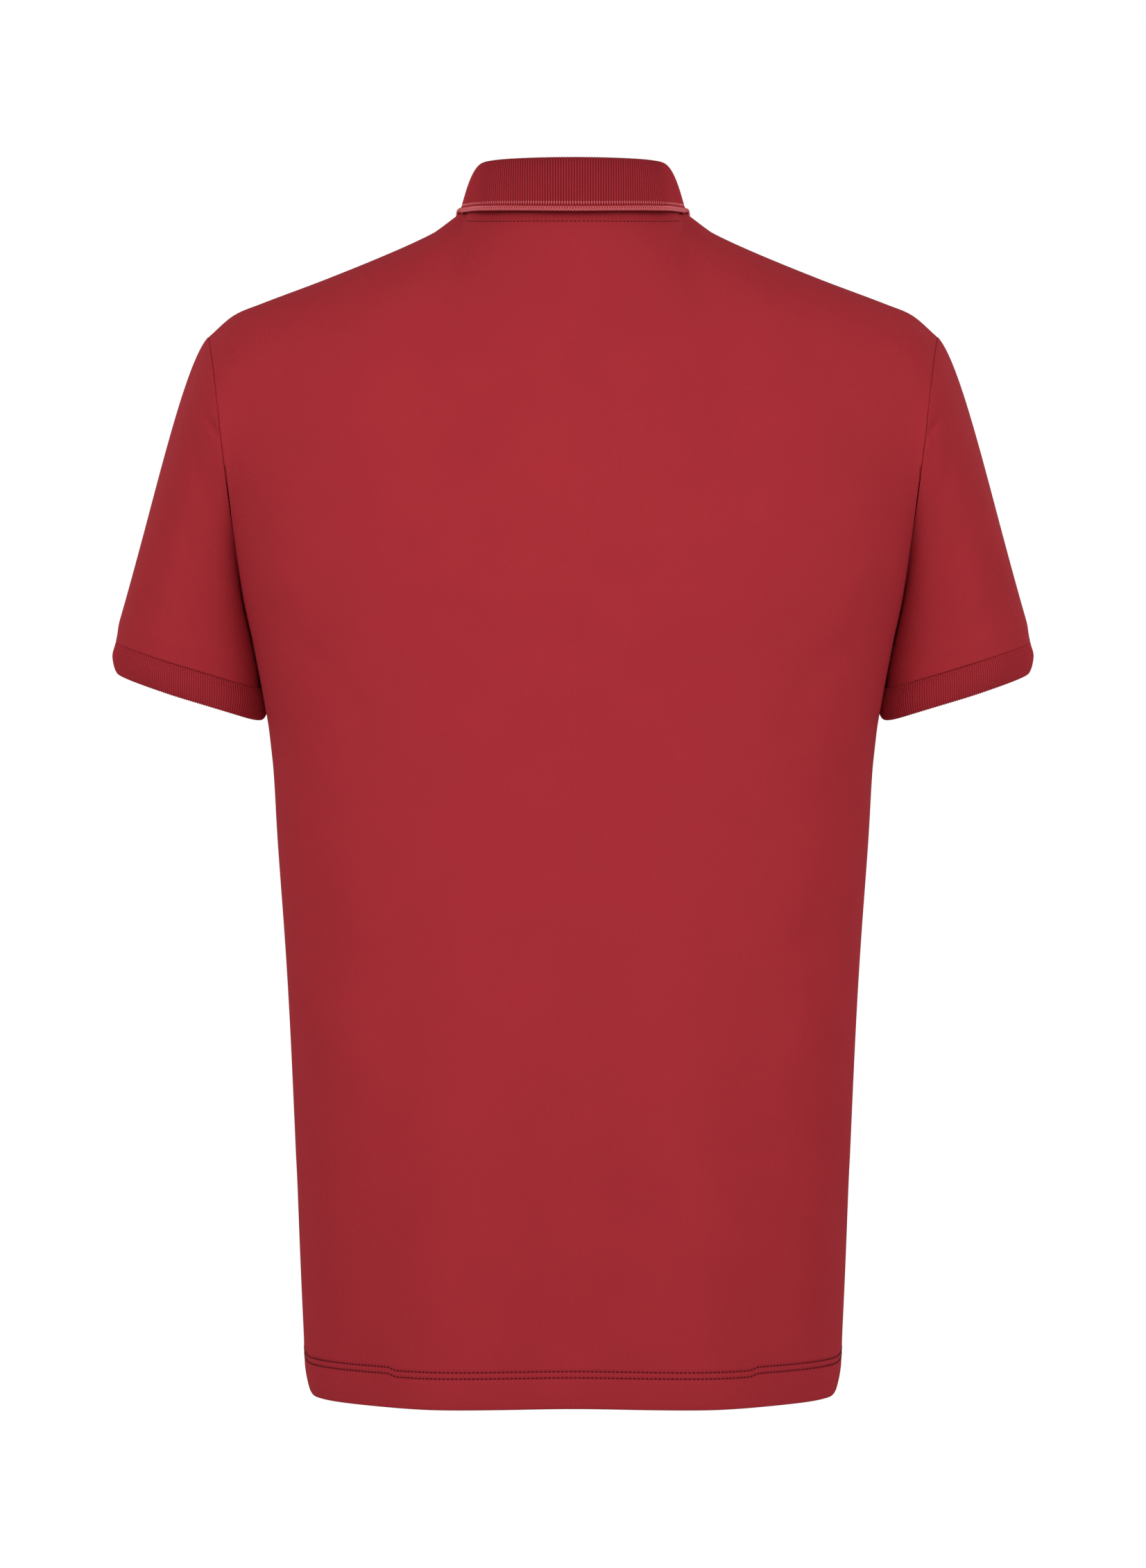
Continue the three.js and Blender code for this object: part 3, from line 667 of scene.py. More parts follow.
def add_node(tree, kind, settings=None, inputs=None):
    """Adds a node: first its settings, then the values or links of its sockets."""
    node = tree.nodes.new(kind)
    for key, value in (settings or {}).items():
        if key == "stops":
            ramp = node.color_ramp.elements
            while len(ramp) < len(value):
                ramp.new(0.5)
            for element, (position, colour) in zip(ramp, value):
                element.position = position
                element.color = (*colour, 1)
        else:
            setattr(node, key, value)
    for key, value in (inputs or {}).items():
        socket = node.inputs[key]
        if isinstance(value, Signal):
            tree.links.new(value.socket, socket)
        elif isinstance(value, bpy.types.NodeSocket):
            tree.links.new(value, socket)
        else:
            socket.default_value = value
    return node


class Signal:
    """A number that varies over a surface, written in sums and products."""

    def __init__(self, tree, socket):
        self.tree = tree
        self.socket = socket

    def math(self, operation, *values, clamp=False):
        settings = {"operation": operation, "use_clamp": clamp}
        node = add_node(self.tree, "ShaderNodeMath", settings, dict(enumerate(values)))
        return Signal(self.tree, node.outputs[0])

    def __add__(self, other):
        return self.math("ADD", self, other)

    __radd__ = __add__

    def __mul__(self, other):
        return self.math("MULTIPLY", self, other)

    __rmul__ = __mul__

    def __sub__(self, other):
        return self.math("SUBTRACT", self, other)

    def __rsub__(self, other):
        return self.math("SUBTRACT", other, self)

    def __truediv__(self, other):
        return self.math("DIVIDE", self, other)

    def cos(self):
        return self.math("COSINE", self)

    def abs(self):
        return self.math("ABSOLUTE", self)

    def clamped(self):
        return self.math("ADD", self, 0.0, clamp=True)

    def rise(self, low, high):
        """0 below low and 1 above high, with a smooth step between."""
        settings = {"interpolation_type": "SMOOTHSTEP"}
        inputs = {"Value": self, "From Min": low, "From Max": high}
        node = add_node(self.tree, "ShaderNodeMapRange", settings, inputs)
        return Signal(self.tree, node.outputs["Result"])

    def band(self, middle, half_width):
        """1 at middle, falling smoothly to 0 a half width away on both sides."""
        return 1 - (self - middle).abs().rise(0.0, half_width)


class Finish:
    """One procedural material, made of signals."""

    def __init__(self, name):
        self.material = bpy.data.materials.new(name)
        self.material.use_nodes = True
        self.tree = self.material.node_tree
        self.tree.nodes.clear()

    def signal(self, kind, output, settings=None, inputs=None):
        node = add_node(self.tree, kind, settings, inputs)
        return Signal(self.tree, node.outputs[output])

    def uv(self):
        """The lengths along the cloth, in metres."""
        uv = self.signal("ShaderNodeUVMap", "UV", {"uv_map": "UVMap"})
        inputs = {"Vector": uv}
        split = add_node(self.tree, "ShaderNodeSeparateXYZ", None, inputs)
        return Signal(self.tree, split.outputs["X"]), Signal(self.tree, split.outputs["Y"])

    def vector(self, x, y, z=0.0):
        return self.signal("ShaderNodeCombineXYZ", "Vector", None, {"X": x, "Y": y, "Z": z})

    def place(self):
        return self.signal("ShaderNodeTexCoord", "Object")

    def noise(self, at, size, detail=2.0, roughness=0.5):
        """Noise from 0 to 1 whose grains are about size metres across."""
        inputs = {"Vector": at, "Scale": 1 / size, "Detail": detail, "Roughness": roughness}
        return self.signal("ShaderNodeTexNoise", "Fac", None, inputs)

    def mix_colour(self, share, first, second):
        settings = {"data_type": "RGBA", "clamp_factor": True}
        inputs = {"Factor": share, 6: colour_of(first), 7: colour_of(second)}
        return self.signal("ShaderNodeMix", 2, settings, inputs)

    def shaded(self, colour, amount):
        """A colour made darker or lighter by a varying amount round 1."""
        base = colour if isinstance(colour, Signal) else tuple(colour[:3])
        inputs = {0: base, "Scale": amount}
        return self.signal("ShaderNodeVectorMath", 0, {"operation": "SCALE"}, inputs)

    def finish(self, colour, roughness, height=None, **constants):
        """Ends the tree; height is in millimetres."""
        inputs = {"Base Color": colour, "Roughness": roughness}
        if height is not None:
            bump = {"Strength": 1.0, "Distance": 0.001, "Height": height}
            inputs["Normal"] = self.signal("ShaderNodeBump", "Normal", None, bump)
        inputs.update({key.replace("_", " "): value for key, value in constants.items()})
        shader = self.signal("ShaderNodeBsdfPrincipled", "BSDF", None, inputs)
        add_node(self.tree, "ShaderNodeOutputMaterial", None, {"Surface": shader})
        return self.material


def colour_of(colour):
    """A colour as a socket takes it."""
    return colour if isinstance(colour, Signal) else (*colour[:3], 1.0)


def pique(name, colour, knit):
    """Pique: small raised cells in diagonal rows, a little heathered, with soft fuzz. The hollows
    between the cells are painted darker and the cells' tops lighter, as painted shade of the weave.
    """
    finish = Finish(name)
    u, v = finish.uv()
    at = finish.vector(u, v)
    wander = (finish.noise(at, 0.006) - 0.5) * 0.6
    wale = u * (2 * math.pi / knit.cell_width) + wander
    course = v * (2 * math.pi / knit.cell_height) + wander
    falling = (wale + course).cos()
    rising = (wale - course).cos()
    cells = falling * 0.14 + rising * 0.36 + 0.5
    yarn = finish.noise(at, 0.0007, 1.0)
    cloudy = finish.noise(finish.place(), 0.035, 3.0)
    streak = finish.noise(finish.vector(u * 6.0, v * 0.35), 0.004, 2.0)
    # The cells' share of the tone is painted shade: darker in the hollows between the cells,
    # lighter on their tops
    tone = 0.79 + cells * 0.42 + (yarn - 0.5) * 0.24 + (cloudy - 0.5) * 0.10
    tone = tone + (streak - 0.5) * 0.05
    height = cells * knit.cell_relief * 1000 + (yarn - 0.5) * 0.05
    roughness = 0.98 - cells * 0.06
    return finish.finish(
        finish.shaded(colour, tone),
        roughness,
        height,
        Specular_IOR_Level=0.02,
    )


def rib_knit(name, colour, tipping, knit, tipped):
    """Rib knit: u counts the ribs and v is the distance from the open edge. The grooves between
    ribs are painted darker and the loops' tops a little lighter, as painted shade and light of the
    knit.
    """
    finish = Finish(name)
    u, v = finish.uv()
    crest = (u * (2 * math.pi)).cos() * 0.5 + 0.5
    loops = (v * (2 * math.pi / knit.loop_height) + crest * 2.0).cos() * 0.5 + 0.5
    yarn = finish.noise(finish.vector(u * 0.0016, v), 0.0007, 1.0)
    cloudy = finish.noise(finish.place(), 0.02, 3.0)
    # Painted shade in the grooves between ribs: strongest at the back of the collar and fainter
    # towards its sides, which are painted lighter; the cuffs get an even painted groove shade
    grooves = 0.66 - u.abs().rise(8.0, 60.0) * 0.34 if tipped else 0.38
    tone = 1.06 - (1 - crest) * grooves + loops * 0.06 + (yarn - 0.5) * 0.16
    tone = tone + (cloudy - 0.5) * 0.1
    shade = finish.shaded(colour, tone)
    if tipped:
        line = v.band(knit.tipping_height, knit.tipping_width)
        edge = 1 - v.rise(knit.tipping_edge, knit.tipping_edge * 1.6)
        pale = (line * 1.5).clamped() * crest.rise(0.3, 0.8) + edge * crest * 0.4
        shade = finish.mix_colour(pale.clamped(), shade, tipping)
    height = loops * 0.10 + (yarn - 0.5) * 0.06
    return finish.finish(shade, 0.95 - crest * 0.05, height, Specular_IOR_Level=0.02)


def sewing_thread(name, colour):
    finish = Finish(name)
    at = finish.place()
    twist = finish.noise(at, 0.0004, 1.0)
    tone = finish.shaded(colour, 0.85 + twist * 0.3)
    return finish.finish(tone, 0.8, twist * 0.05, Specular_IOR_Level=0.08)


def button_plastic(name, colour):
    finish = Finish(name)
    at = finish.place()
    cloud = finish.noise(at, 0.004, 3.0)
    scuff = finish.noise(at, 0.0006, 2.0)
    tone = 0.85 + cloud * 0.3
    roughness = 0.28 + scuff * 0.16
    return finish.finish(
        finish.shaded(colour, tone), roughness, scuff * 0.01, Coat_Weight=0.2, Coat_Roughness=0.2
    )


def plain_paper(name, colour):
    finish = Finish(name)
    grain = finish.noise(finish.place(), 0.01, 2.0)
    return finish.finish(finish.shaded(colour, 0.99 + grain * 0.02), 0.9, grain * 0.02)


# ---------------------------------------------------------------- geometry trees


def new_tree(name, sockets):
    """A geometry tree with its named inputs, and its group input and output nodes."""
    tree = bpy.data.node_groups.new(name, "GeometryNodeTree")
    tree.interface.new_socket("Geometry", in_out="INPUT", socket_type="NodeSocketGeometry")
    for socket_name, kind in sockets:
        tree.interface.new_socket(socket_name, in_out="INPUT", socket_type=kind)
    tree.interface.new_socket("Geometry", in_out="OUTPUT", socket_type="NodeSocketGeometry")
    return tree, tree.nodes.new("NodeGroupInput").outputs


def end_tree(tree, geometry, material):
    real = add_node(tree, "GeometryNodeRealizeInstances", None, {"Geometry": geometry})
    smoothed = add_node(
        tree, "GeometryNodeSetShadeSmooth", None, {"Geometry": real.outputs["Geometry"]}
    )
    inputs = {"Geometry": smoothed.outputs["Geometry"], "Material": material}
    painted = add_node(tree, "GeometryNodeSetMaterial", None, inputs)
    add_node(tree, "NodeGroupOutput", None, {"Geometry": painted.outputs["Geometry"]})
    return tree


def named(tree, name, kind="FLOAT"):
    node = add_node(
        tree, "GeometryNodeInputNamedAttribute", {"data_type": kind}, {"Name": name}
    )
    return Signal(tree, node.outputs["Attribute"])


def rib_tree():
    """Raises ribs on a shell along its normals, where its points are marked as ribbed."""
    sockets = [("Relief", "NodeSocketFloat"), ("Material", "NodeSocketMaterial")]
    tree, inputs = new_tree("ribs", sockets)
    turn = named(tree, "rib_turn")
    mark = named(tree, "ribbed")
    relief = Signal(tree, inputs["Relief"])
    lift = ((turn * (2 * math.pi)).cos() * 0.5 - 0.5) * relief * mark
    normal = add_node(tree, "GeometryNodeInputNormal")
    offset = add_node(
        tree,
        "ShaderNodeVectorMath",
        {"operation": "SCALE"},
        {0: normal.outputs["Normal"], "Scale": lift},
    )
    moved = add_node(
        tree,
        "GeometryNodeSetPosition",
        None,
        {"Geometry": inputs["Geometry"], "Offset": offset.outputs[0]},
    )
    return end_tree(tree, moved.outputs["Geometry"], inputs["Material"])


def stitch_tree():
    """Puts a small plump stitch on every point, laid along one vector and out by another."""
    sizes = [(size, "NodeSocketFloat") for size in ("Length", "Width", "Height")]
    tree, inputs = new_tree("stitches", [*sizes, ("Material", "NodeSocketMaterial")])
    thread = add_node(
        tree, "GeometryNodeMeshUVSphere", None, {"Segments": 6, "Rings": 5, "Radius": 0.5}
    )
    turned = add_node(
        tree,
        "FunctionNodeAxesToRotation",
        {"primary_axis": "X", "secondary_axis": "Z"},
        {
            "Primary Axis": named(tree, "along", "FLOAT_VECTOR"),
            "Secondary Axis": named(tree, "out", "FLOAT_VECTOR"),
        },
    )
    size = add_node(
        tree,
        "ShaderNodeCombineXYZ",
        None,
        {"X": inputs["Length"], "Y": inputs["Width"], "Z": inputs["Height"]},
    )
    placed = add_node(
        tree,
        "GeometryNodeInstanceOnPoints",
        None,
        {
            "Points": inputs["Geometry"],
            "Instance": thread.outputs["Mesh"],
            "Rotation": turned.outputs["Rotation"],
            "Scale": size.outputs["Vector"],
        },
    )
    return end_tree(tree, placed.outputs["Instances"], inputs["Material"])


def grown(name, mesh, tree, values):
    """The plain mesh that a geometry tree makes of a mesh."""
    seed = bpy.data.objects.new(name + "_seed", mesh)
    bpy.context.scene.collection.objects.link(seed)
    modifier = seed.modifiers.new("tree", "NODES")
    modifier.node_group = tree
    for item in tree.interface.items_tree:
        if item.in_out == "INPUT" and item.name in values:
            modifier[item.identifier] = values[item.name]
    seed.update_tag()
    depsgraph = bpy.context.evaluated_depsgraph_get()
    result = bpy.data.meshes.new_from_object(seed.evaluated_get(depsgraph))
    bpy.data.objects.remove(seed)
    result.name = name
    return result


def stitch_mesh(name, places, alongs, outs, size, material):
    """A row or several rows of stitches as one mesh. size is length, width and height."""
    seeds = bpy.data.meshes.new(name + "_places")
    seeds.from_pydata(places.reshape(-1, 3).tolist(), [], [])
    for attribute_name, vectors in (("along", alongs), ("out", outs)):
        attribute = seeds.attributes.new(attribute_name, "FLOAT_VECTOR", "POINT")
        attribute.data.foreach_set("vector", unit(vectors).astype(np.float32).reshape(-1))
    length, width, height = size
    values = {"Length": length, "Width": width, "Height": height, "Material": material}
    return grown(name, seeds, stitch_tree(), values)


def evenly(points, others, pitch):
    """Places at an even pitch along a line, with the same places on other lines."""
    steps = np.linalg.norm(np.diff(points, axis=0), axis=-1)
    length = np.concatenate([[0], np.cumsum(steps)])
    count = max(int(round(length[-1] / pitch)), 2)
    at = (np.arange(count) + 0.5) / count * length[-1]

    def read(line, beyond=0):
        return np.stack([np.interp(at + beyond, length, line[:, k]) for k in range(3)], axis=-1)

    ahead, behind = read(points, pitch * 0.3), read(points, -pitch * 0.3)
    return read(points), unit(ahead - behind), [read(line) for line in others]


# ---------------------------------------------------------------- settings


def size_setting(name, description, default):
    return bpy.props.FloatProperty(
        name=name, description=description, default=default, subtype="DISTANCE", unit="LENGTH"
    )


def colour_setting(name, description, default):
    return bpy.props.FloatVectorProperty(
        name=name, description=description, default=default, size=3, subtype="COLOR", min=0, max=1
    )


class ShirtPique(bpy.types.PropertyGroup):
    """Pique cloth of the panels, sleeves and placket"""

    colour: colour_setting("Colour", "Red of the pique cloth", (0.392, 0.0285, 0.0385))
    cell_width: size_setting("Cell Width", "Width of one raised cell", 0.0015)
    cell_height: size_setting("Cell Height", "Height of one raised cell", 0.0012)
    cell_relief: size_setting("Cell Relief", "How far a cell stands out", 0.00016)


class ShirtRib(bpy.types.PropertyGroup):
    """Rib knit of the collar and cuffs"""

    colour: colour_setting("Colour", "Red of the rib knit", (0.38, 0.0275, 0.038))
    tipping: colour_setting("Tipping", "Pale red of the collar's edge", (0.64, 0.15, 0.165))
    collar_pitch: size_setting("Collar Rib Pitch", "From rib to rib at the edge", 0.00162)
    cuff_pitch: size_setting("Cuff Rib Pitch", "From rib to rib round the cuff", 0.00143)
    relief: size_setting("Rib Relief", "Depth of the grooves between ribs", 0.0005)
    loop_height: size_setting("Loop Height", "Height of one knitted loop", 0.0009)
    tipping_height: size_setting("Tipping Height", "Fine line's height above the edge", 0.0056)
    tipping_width: size_setting("Tipping Width", "Half width of the fine line", 0.0011)
    tipping_edge: size_setting("Tipped Edge", "Width of the pale edge band", 0.0012)


class ShirtSewing(bpy.types.PropertyGroup):
    """Rows of stitches"""

    # The thread is made far darker than the cloth as painted shade: it stands for the shadow in and
    # round the stitch holes
    colour: colour_setting("Colour", "Red of the sewing thread", (0.11, 0.006, 0.011))
    pitch: size_setting("Stitch Pitch", "From stitch to stitch", 0.0025)
    width: size_setting("Thread Width", "Width of the laid thread", 0.0008)
    hem_low: size_setting("Lower Hem Row", "Height of the lower row above the edge", 0.0185)
    hem_high: size_setting("Upper Hem Row", "Height of the upper row above the edge", 0.0222)
    neck_drop: size_setting("Neck Row", "Distance of the row below the neck seam", 0.0112)


class ShirtButtons(bpy.types.PropertyGroup):
    """Buttons of the placket"""

    colour: colour_setting("Colour", "Dark red of the buttons", (0.20, 0.014, 0.02))
    radius: size_setting("Radius", "Radius of a button", 0.0055)
    height: size_setting("Height", "Height of a button", 0.0024)
    hole: size_setting("Hole Radius", "Radius of each thread hole", 0.0008)


class ShirtStage(bpy.types.PropertyGroup):
    """Camera, floor and lights"""

    distance: size_setting("Camera Distance", "From the camera to the shirt's middle", 3.5)
    eye_height: size_setting("Camera Height", "Height of the camera", -0.3444)
    view_height: size_setting("View Height", "Height of the picture at the shirt", 0.9492)
    floor_height: size_setting("Floor Height", "Height of the floor", -1.45)
    floor_colour: colour_setting("Floor Colour", "Pale floor", (0.8, 0.8, 0.8))
    ambient: bpy.props.FloatProperty(
        name="Ambient", description="Light from all round", default=0.395, min=0
    )
    side_power: bpy.props.FloatProperty(
        name="Side Power", description="Power of each light at the side", default=13.2, unit="POWER"
    )
    middle_power: bpy.props.FloatProperty(
        name="Middle Power", description="Power of the far middle lights", default=95, unit="POWER"
    )


GROUPS = {
    "shirt_pique": ShirtPique,
    "shirt_rib": ShirtRib,
    "shirt_sewing": ShirtSewing,
    "shirt_buttons": ShirtButtons,
    "shirt_stage": ShirtStage,
}


class ShirtPiece(bpy.types.Operator):
    """Common parts of the operators that make pieces of the shirt"""

    bl_options = {"REGISTER", "UNDO"}

    def pique(self, context):
        material = bpy.data.materials.get("pique_red")
        knit = context.scene.shirt_pique
        return material or pique("pique_red", knit.colour, knit)

    def thread(self, context):
        # The thread's dark colour is painted shade of the stitch holes
        material = bpy.data.materials.get("thread_red_painted_shade")
        return material or sewing_thread("thread_red_painted_shade", context.scene.shirt_sewing.colour)


# ---------------------------------------------------------------- panels

PANEL_COLUMNS = 161
PANEL_HEM_ROWS = 38
PANEL_LOW_ROWS = 96
PANEL_HIGH_ROWS = 84


def low_rows():
    """Shares of the rows below the chest line, close together where the hem is sewn."""
    low, high = np.array([HEM_CLOTH, HEM_DEPTH + 0.004]) / (CHEST_Z - HEM_Z)
    return np.concatenate(
        [np.linspace(low, high, PANEL_HEM_ROWS), np.linspace(high, 1, PANEL_LOW_ROWS)[1:-1]]
    )


def panel_grid(face):
    """Places across and up a panel: evenly spaced, and close together at its edges."""
    shares, offsets, side_sink = spread(PANEL_COLUMNS, (SEAM_ROUND, SEAM_ROUND))
    low, low_offsets, low_sink = spread(low_rows(), (HEM_CLOTH / 2, 0))
    high, high_offsets, high_sink = spread(PANEL_HIGH_ROWS, (0, SEAM_ROUND))
    levels = np.concatenate([low[:-1], 1 + high])
    level_offsets = np.concatenate([low_offsets[:-1], high_offsets])
    up_sink = np.concatenate([low_sink[:-1], high_sink])
    if face == FRONT:
        half = (1 + PLACKET_SHARE) / 2
        places = np.array([1 - half, half])
        for place in places:
            shares[np.abs(shares - place).argmin()] = place
        levels[np.abs(levels - PLACKET_BOTTOM).argmin()] = PLACKET_BOTTOM
    across, level = np.meshgrid(shares * 2 - 1, levels)
    step = 1e-3
    inner_across = np.clip(across, -1 + step, 1 - step)
    inner_level = np.clip(level, step, 2 - step)
    here = panel_point(face, inner_across, inner_level)
    speed = np.linalg.norm(panel_point(face, inner_across + step, inner_level) - here, axis=-1)
    climb = np.linalg.norm(panel_point(face, inner_across, inner_level + step) - here, axis=-1)
    across = across + offsets[None, :] * step / speed
    level = level + level_offsets[:, None] * step / climb
    sink = np.maximum(side_sink[None, :], up_sink[:, None])
    return across, level, sink, side_sink * armhole_draw(level)


def armhole_draw(level):
    """How strongly the seam draws the cloth in: not at the underarm or on the shoulder."""
    return SEAM_DRAW * smooth((level - 1) * 2.5) * (1 - smooth((level - 1.75) * 5))


def panel_mesh(face, name):
    """A front or back panel with its hem turned up inside."""
    across, level, sink, drawn = panel_grid(face)
    outer, normal = panel_surface(face, across, level, lift=-drawn)
    z = mix(HEM_Z, CHEST_Z, level)
    in_hem = smooth((HEM_Z + HEM_DEPTH + 0.0012 - z) / 0.0016)
    thick = CLOTH + (HEM_CLOTH - CLOTH) * in_hem
    seam_groove = hem_groove(z - HEM_Z - hem_step(across))
    inner = outer - normal * (thick - sink)[..., None]
    outer = outer - normal * (sink + seam_groove)[..., None]
    u, v = measured_uv(outer, middle=across.shape[1] // 2)
    u = np.abs(u)
    if face == BACK:
        # Seen from behind, the columns run the other way round
        return shell_mesh(name, outer[:, ::-1], inner[:, ::-1], (u[:, ::-1], v[:, ::-1]))
    centre = (across[:-1, 1:] + across[:-1, :-1]) / 2
    height = (level[1:, :-1] + level[:-1, :-1]) / 2
    slit = (np.abs(centre) < PLACKET_SHARE) & (height > PLACKET_BOTTOM)
    return shell_mesh(name, outer, inner, (u, v), keep=~slit)


def hem_step(across):
    """The rows of hem stitches run a little higher towards the side seams."""
    return 0.0017 * smooth((np.abs(across) - 0.41) / 0.03)


def hem_groove(height):
    """The cloth is drawn in a little along the two rows of hem stitches."""
    settings = bpy.context.scene.shirt_sewing
    low = np.exp(-(((height - settings.hem_low) / 0.0011) ** 2))
    high = np.exp(-(((height - settings.hem_high) / 0.0011) ** 2))
    return 0.0005 * (low + high)


class MakePanels(ShirtPiece):
    """Make the front and back panels of pique"""

    bl_idname = "shirt.make_panels"
    bl_label = "Make Front and Back"

    def execute(self, context):
        cloth = self.pique(context)
        for face, name, node, area in (
            (BACK, "back_cloth", "back_panel", 0.337),
            (FRONT, "front_cloth", "front_panel", 0.326),
        ):
            piece = add_piece(name, panel_mesh(face, name), cloth, [node])
        return {"FINISHED"}


# ---------------------------------------------------------------- sleeves and cuffs

SLEEVE_COLUMNS = 144
SLEEVE_ROWS = 90


def ring_turns(count):
    """Turns of the columns of a tube of cloth, which is joined under the arm."""
    return (0.5 - np.arange(count) / count) % 1


def sleeve_mesh(name):
    shares, offsets, sink = spread(SLEEVE_ROWS, (SEAM_ROUND, SEAM_ROUND))
    turn, along = np.meshgrid(ring_turns(SLEEVE_COLUMNS), shares)
    length = np.linalg.norm(armhole_point(turn) - sleeve_ring(turn, along * 0), axis=-1)
    along = np.clip(along + offsets[:, None] / length, 0, 1)
    under = smooth((np.cos((turn - 0.5) * 2 * np.pi) + 0.2) * 1.5)
    outer = BodyCover().lift(sleeve_bare(turn, along), SLEEVE_GAP * smooth(along * 4) * under)
    normal = grid_normals(outer, 1, wrap=True)
    sink = sink[:, None] + turn * 0
    drawn = sink * (along < 0.5) * armhole_draw(np.maximum(2 - 2 * turn, 2 * turn))
    swell = cuff_swell((along - 1) * length / np.linalg.norm(CUFF_DROP))
    crease = crease_depth(SLEEVE_CREASES, turn, along) - swell + drawn
    outer = outer - normal * crease[..., None]
    inner = outer - normal * (CLOTH - sink)[..., None]
    outer = outer - normal * sink[..., None]
    u, v = measured_uv(outer, middle=SLEEVE_COLUMNS // 2)
    return shell_mesh(name, outer, inner, (u, v - v[-1:]), wrap=True)


class MakeSleeves(ShirtPiece):
    """Make the two sleeves of pique"""

    bl_idname = "shirt.make_sleeves"
    bl_label = "Make Sleeves"

    def execute(self, context):
        cloth = self.pique(context)
        left = sleeve_mesh("sleeve_cloth_left")
        for side, mesh in (("left", left), ("right", mirrored(left))):
            piece = add_piece("sleeve_cloth_" + side, mesh, cloth, ["sleeve_" + side])
        return {"FINISHED"}


CUFF_ROWS = 10
COLUMNS_PER_RIB = 4


def cuff_mesh(name, rib, material):
    girth = math.pi * (SLEEVE_HALF_WIDTH + SLEEVE_HALF_DEPTH)
    ribs = round(girth / rib.cuff_pitch)
    shares, offsets, sink = spread(CUFF_ROWS, (SEAM_ROUND, CUFF_KNIT / 2))
    columns = ribs * COLUMNS_PER_RIB
    turn, beyond = np.meshgrid(ring_turns(columns), shares)
    beyond = beyond + offsets[:, None] / np.linalg.norm(CUFF_DROP)
    outer = sleeve_ring(turn, beyond)
    outer = outer + grid_normals(outer, 1, wrap=True) * cuff_swell(beyond)[..., None]
    normal = grid_normals(outer, 1, wrap=True)
    inner = outer - normal * (CUFF_KNIT - sink[:, None])[..., None]
    outer = outer - normal * sink[:, None, None]
    height = (1 - beyond) * np.linalg.norm(CUFF_DROP)
    rib_turn = turn * 0 + np.arange(columns) / COLUMNS_PER_RIB
    marks = {"rib_turn": rib_turn, "ribbed": np.ones_like(turn)}
    mesh = shell_mesh(name, outer, inner, (rib_turn, height), wrap=True, marks=marks)
    return grown(name, mesh, rib_tree(), {"Relief": rib.relief, "Material": material})


class MakeCuffs(ShirtPiece):
    """Make the two ribbed cuffs"""

    bl_idname = "shirt.make_cuffs"
    bl_label = "Make Cuffs"

    def execute(self, context):
        rib = context.scene.shirt_rib
        knit = rib_knit("rib_red", rib.colour, rib.tipping, rib, tipped=False)
        left = cuff_mesh("cuff_knit_left", rib, knit)
        for side, mesh in (("left", left), ("right", mirrored(left))):
            piece = add_piece("cuff_knit_" + side, mesh, knit, ["cuff_" + side])
            "sleeve_cloth_" + side
        return {"FINISHED"}


# ---------------------------------------------------------------- collar

STAND_ROWS = 12
LEAF_ROWS = 22
LEAF_FALL = 0.034  # from the fold to the leaf's edge


def along_ribs(share, over):
    """Places round the collar whose columns follow its ribs. The ribs stand parallel at the
    back, and where the strip is shorter than its edge they close up towards the front."""
    fine = np.linspace(0, COLLAR_END, 300)
    lengths = {}
    for height in (over, 2.0):
        line = collar_bare(fine, np.full_like(fine, height))
        steps = np.linalg.norm(np.diff(line, axis=0), axis=-1)
        lengths[height] = np.concatenate([[0], np.cumsum(steps)])
    shorter = 1 - lengths[over][-1] / lengths[2.0][-1]
    size = np.abs(share)
    at = size * (1 - shorter * size**3) * lengths[2.0][-1]
    return np.interp(at, lengths[over], fine) * np.sign(share)


def collar_mesh(name, rib, material):
    leaf_edge = collar_bare(np.linspace(-COLLAR_END, COLLAR_END, 400), np.full(400, 2.0))
    length = np.linalg.norm(np.diff(leaf_edge, axis=0), axis=-1).sum()
    ribs = round(length / rib.collar_pitch)
    radius = COLLAR_KNIT / 2
    low, low_offsets, low_sink = spread(STAND_ROWS, (radius, 0))
    high, high_offsets, high_sink = spread(LEAF_ROWS, (0, radius))
    overs = np.concatenate([low[:-1], 1 + high])
    over_offsets = np.concatenate([low_offsets[:-1], high_offsets])
    sink = np.concatenate([low_sink[:-1], high_sink])[:, None]
    share, over = np.meshgrid(np.linspace(-1, 1, ribs * COLUMNS_PER_RIB + 1), overs)
    over = over + over_offsets[:, None] / LEAF_FALL
    around = np.stack([along_ribs(row_share, row[0]) for row_share, row in zip(share, over)])
    outer = collar_bare(around, over)
    over_band = BAND_CLOTH * smooth((np.abs(around) - 0.8) * 8)
    rest = (COLLAR_KNIT + LEAF_GAP + over_band) * smooth((over - 1.1) * 3)
    outer = BodyCover().lift(outer, np.where(over > 1.1, rest, 0))
    normal = grid_normals(outer, 1)
    ends = near_ends(share, length / 2, radius)
    sink = np.maximum(sink, ends)
    inner = outer - normal * (COLLAR_KNIT - sink)[..., None]
    outer = outer - normal * sink[..., None]
    down = measured_uv(outer)[1]
    height = down[-1:] - down
    rib_turn = share / 2 * ribs
    ribbed = smooth((over - 0.9) * 5)
    marks = {"rib_turn": rib_turn, "ribbed": ribbed}
    mesh = shell_mesh(name, outer, inner, (rib_turn, height), marks=marks)
    return grown(name, mesh, rib_tree(), {"Relief": rib.relief, "Material": material}), ribs


def near_ends(share, half_length, radius):
    """How far the two short ends of the collar are rounded off."""
    distance = np.clip((1 - np.abs(share)) * half_length / radius, 0, 1)
    return 0.94 * radius * (1 - np.sqrt(1 - (1 - distance) ** 2))


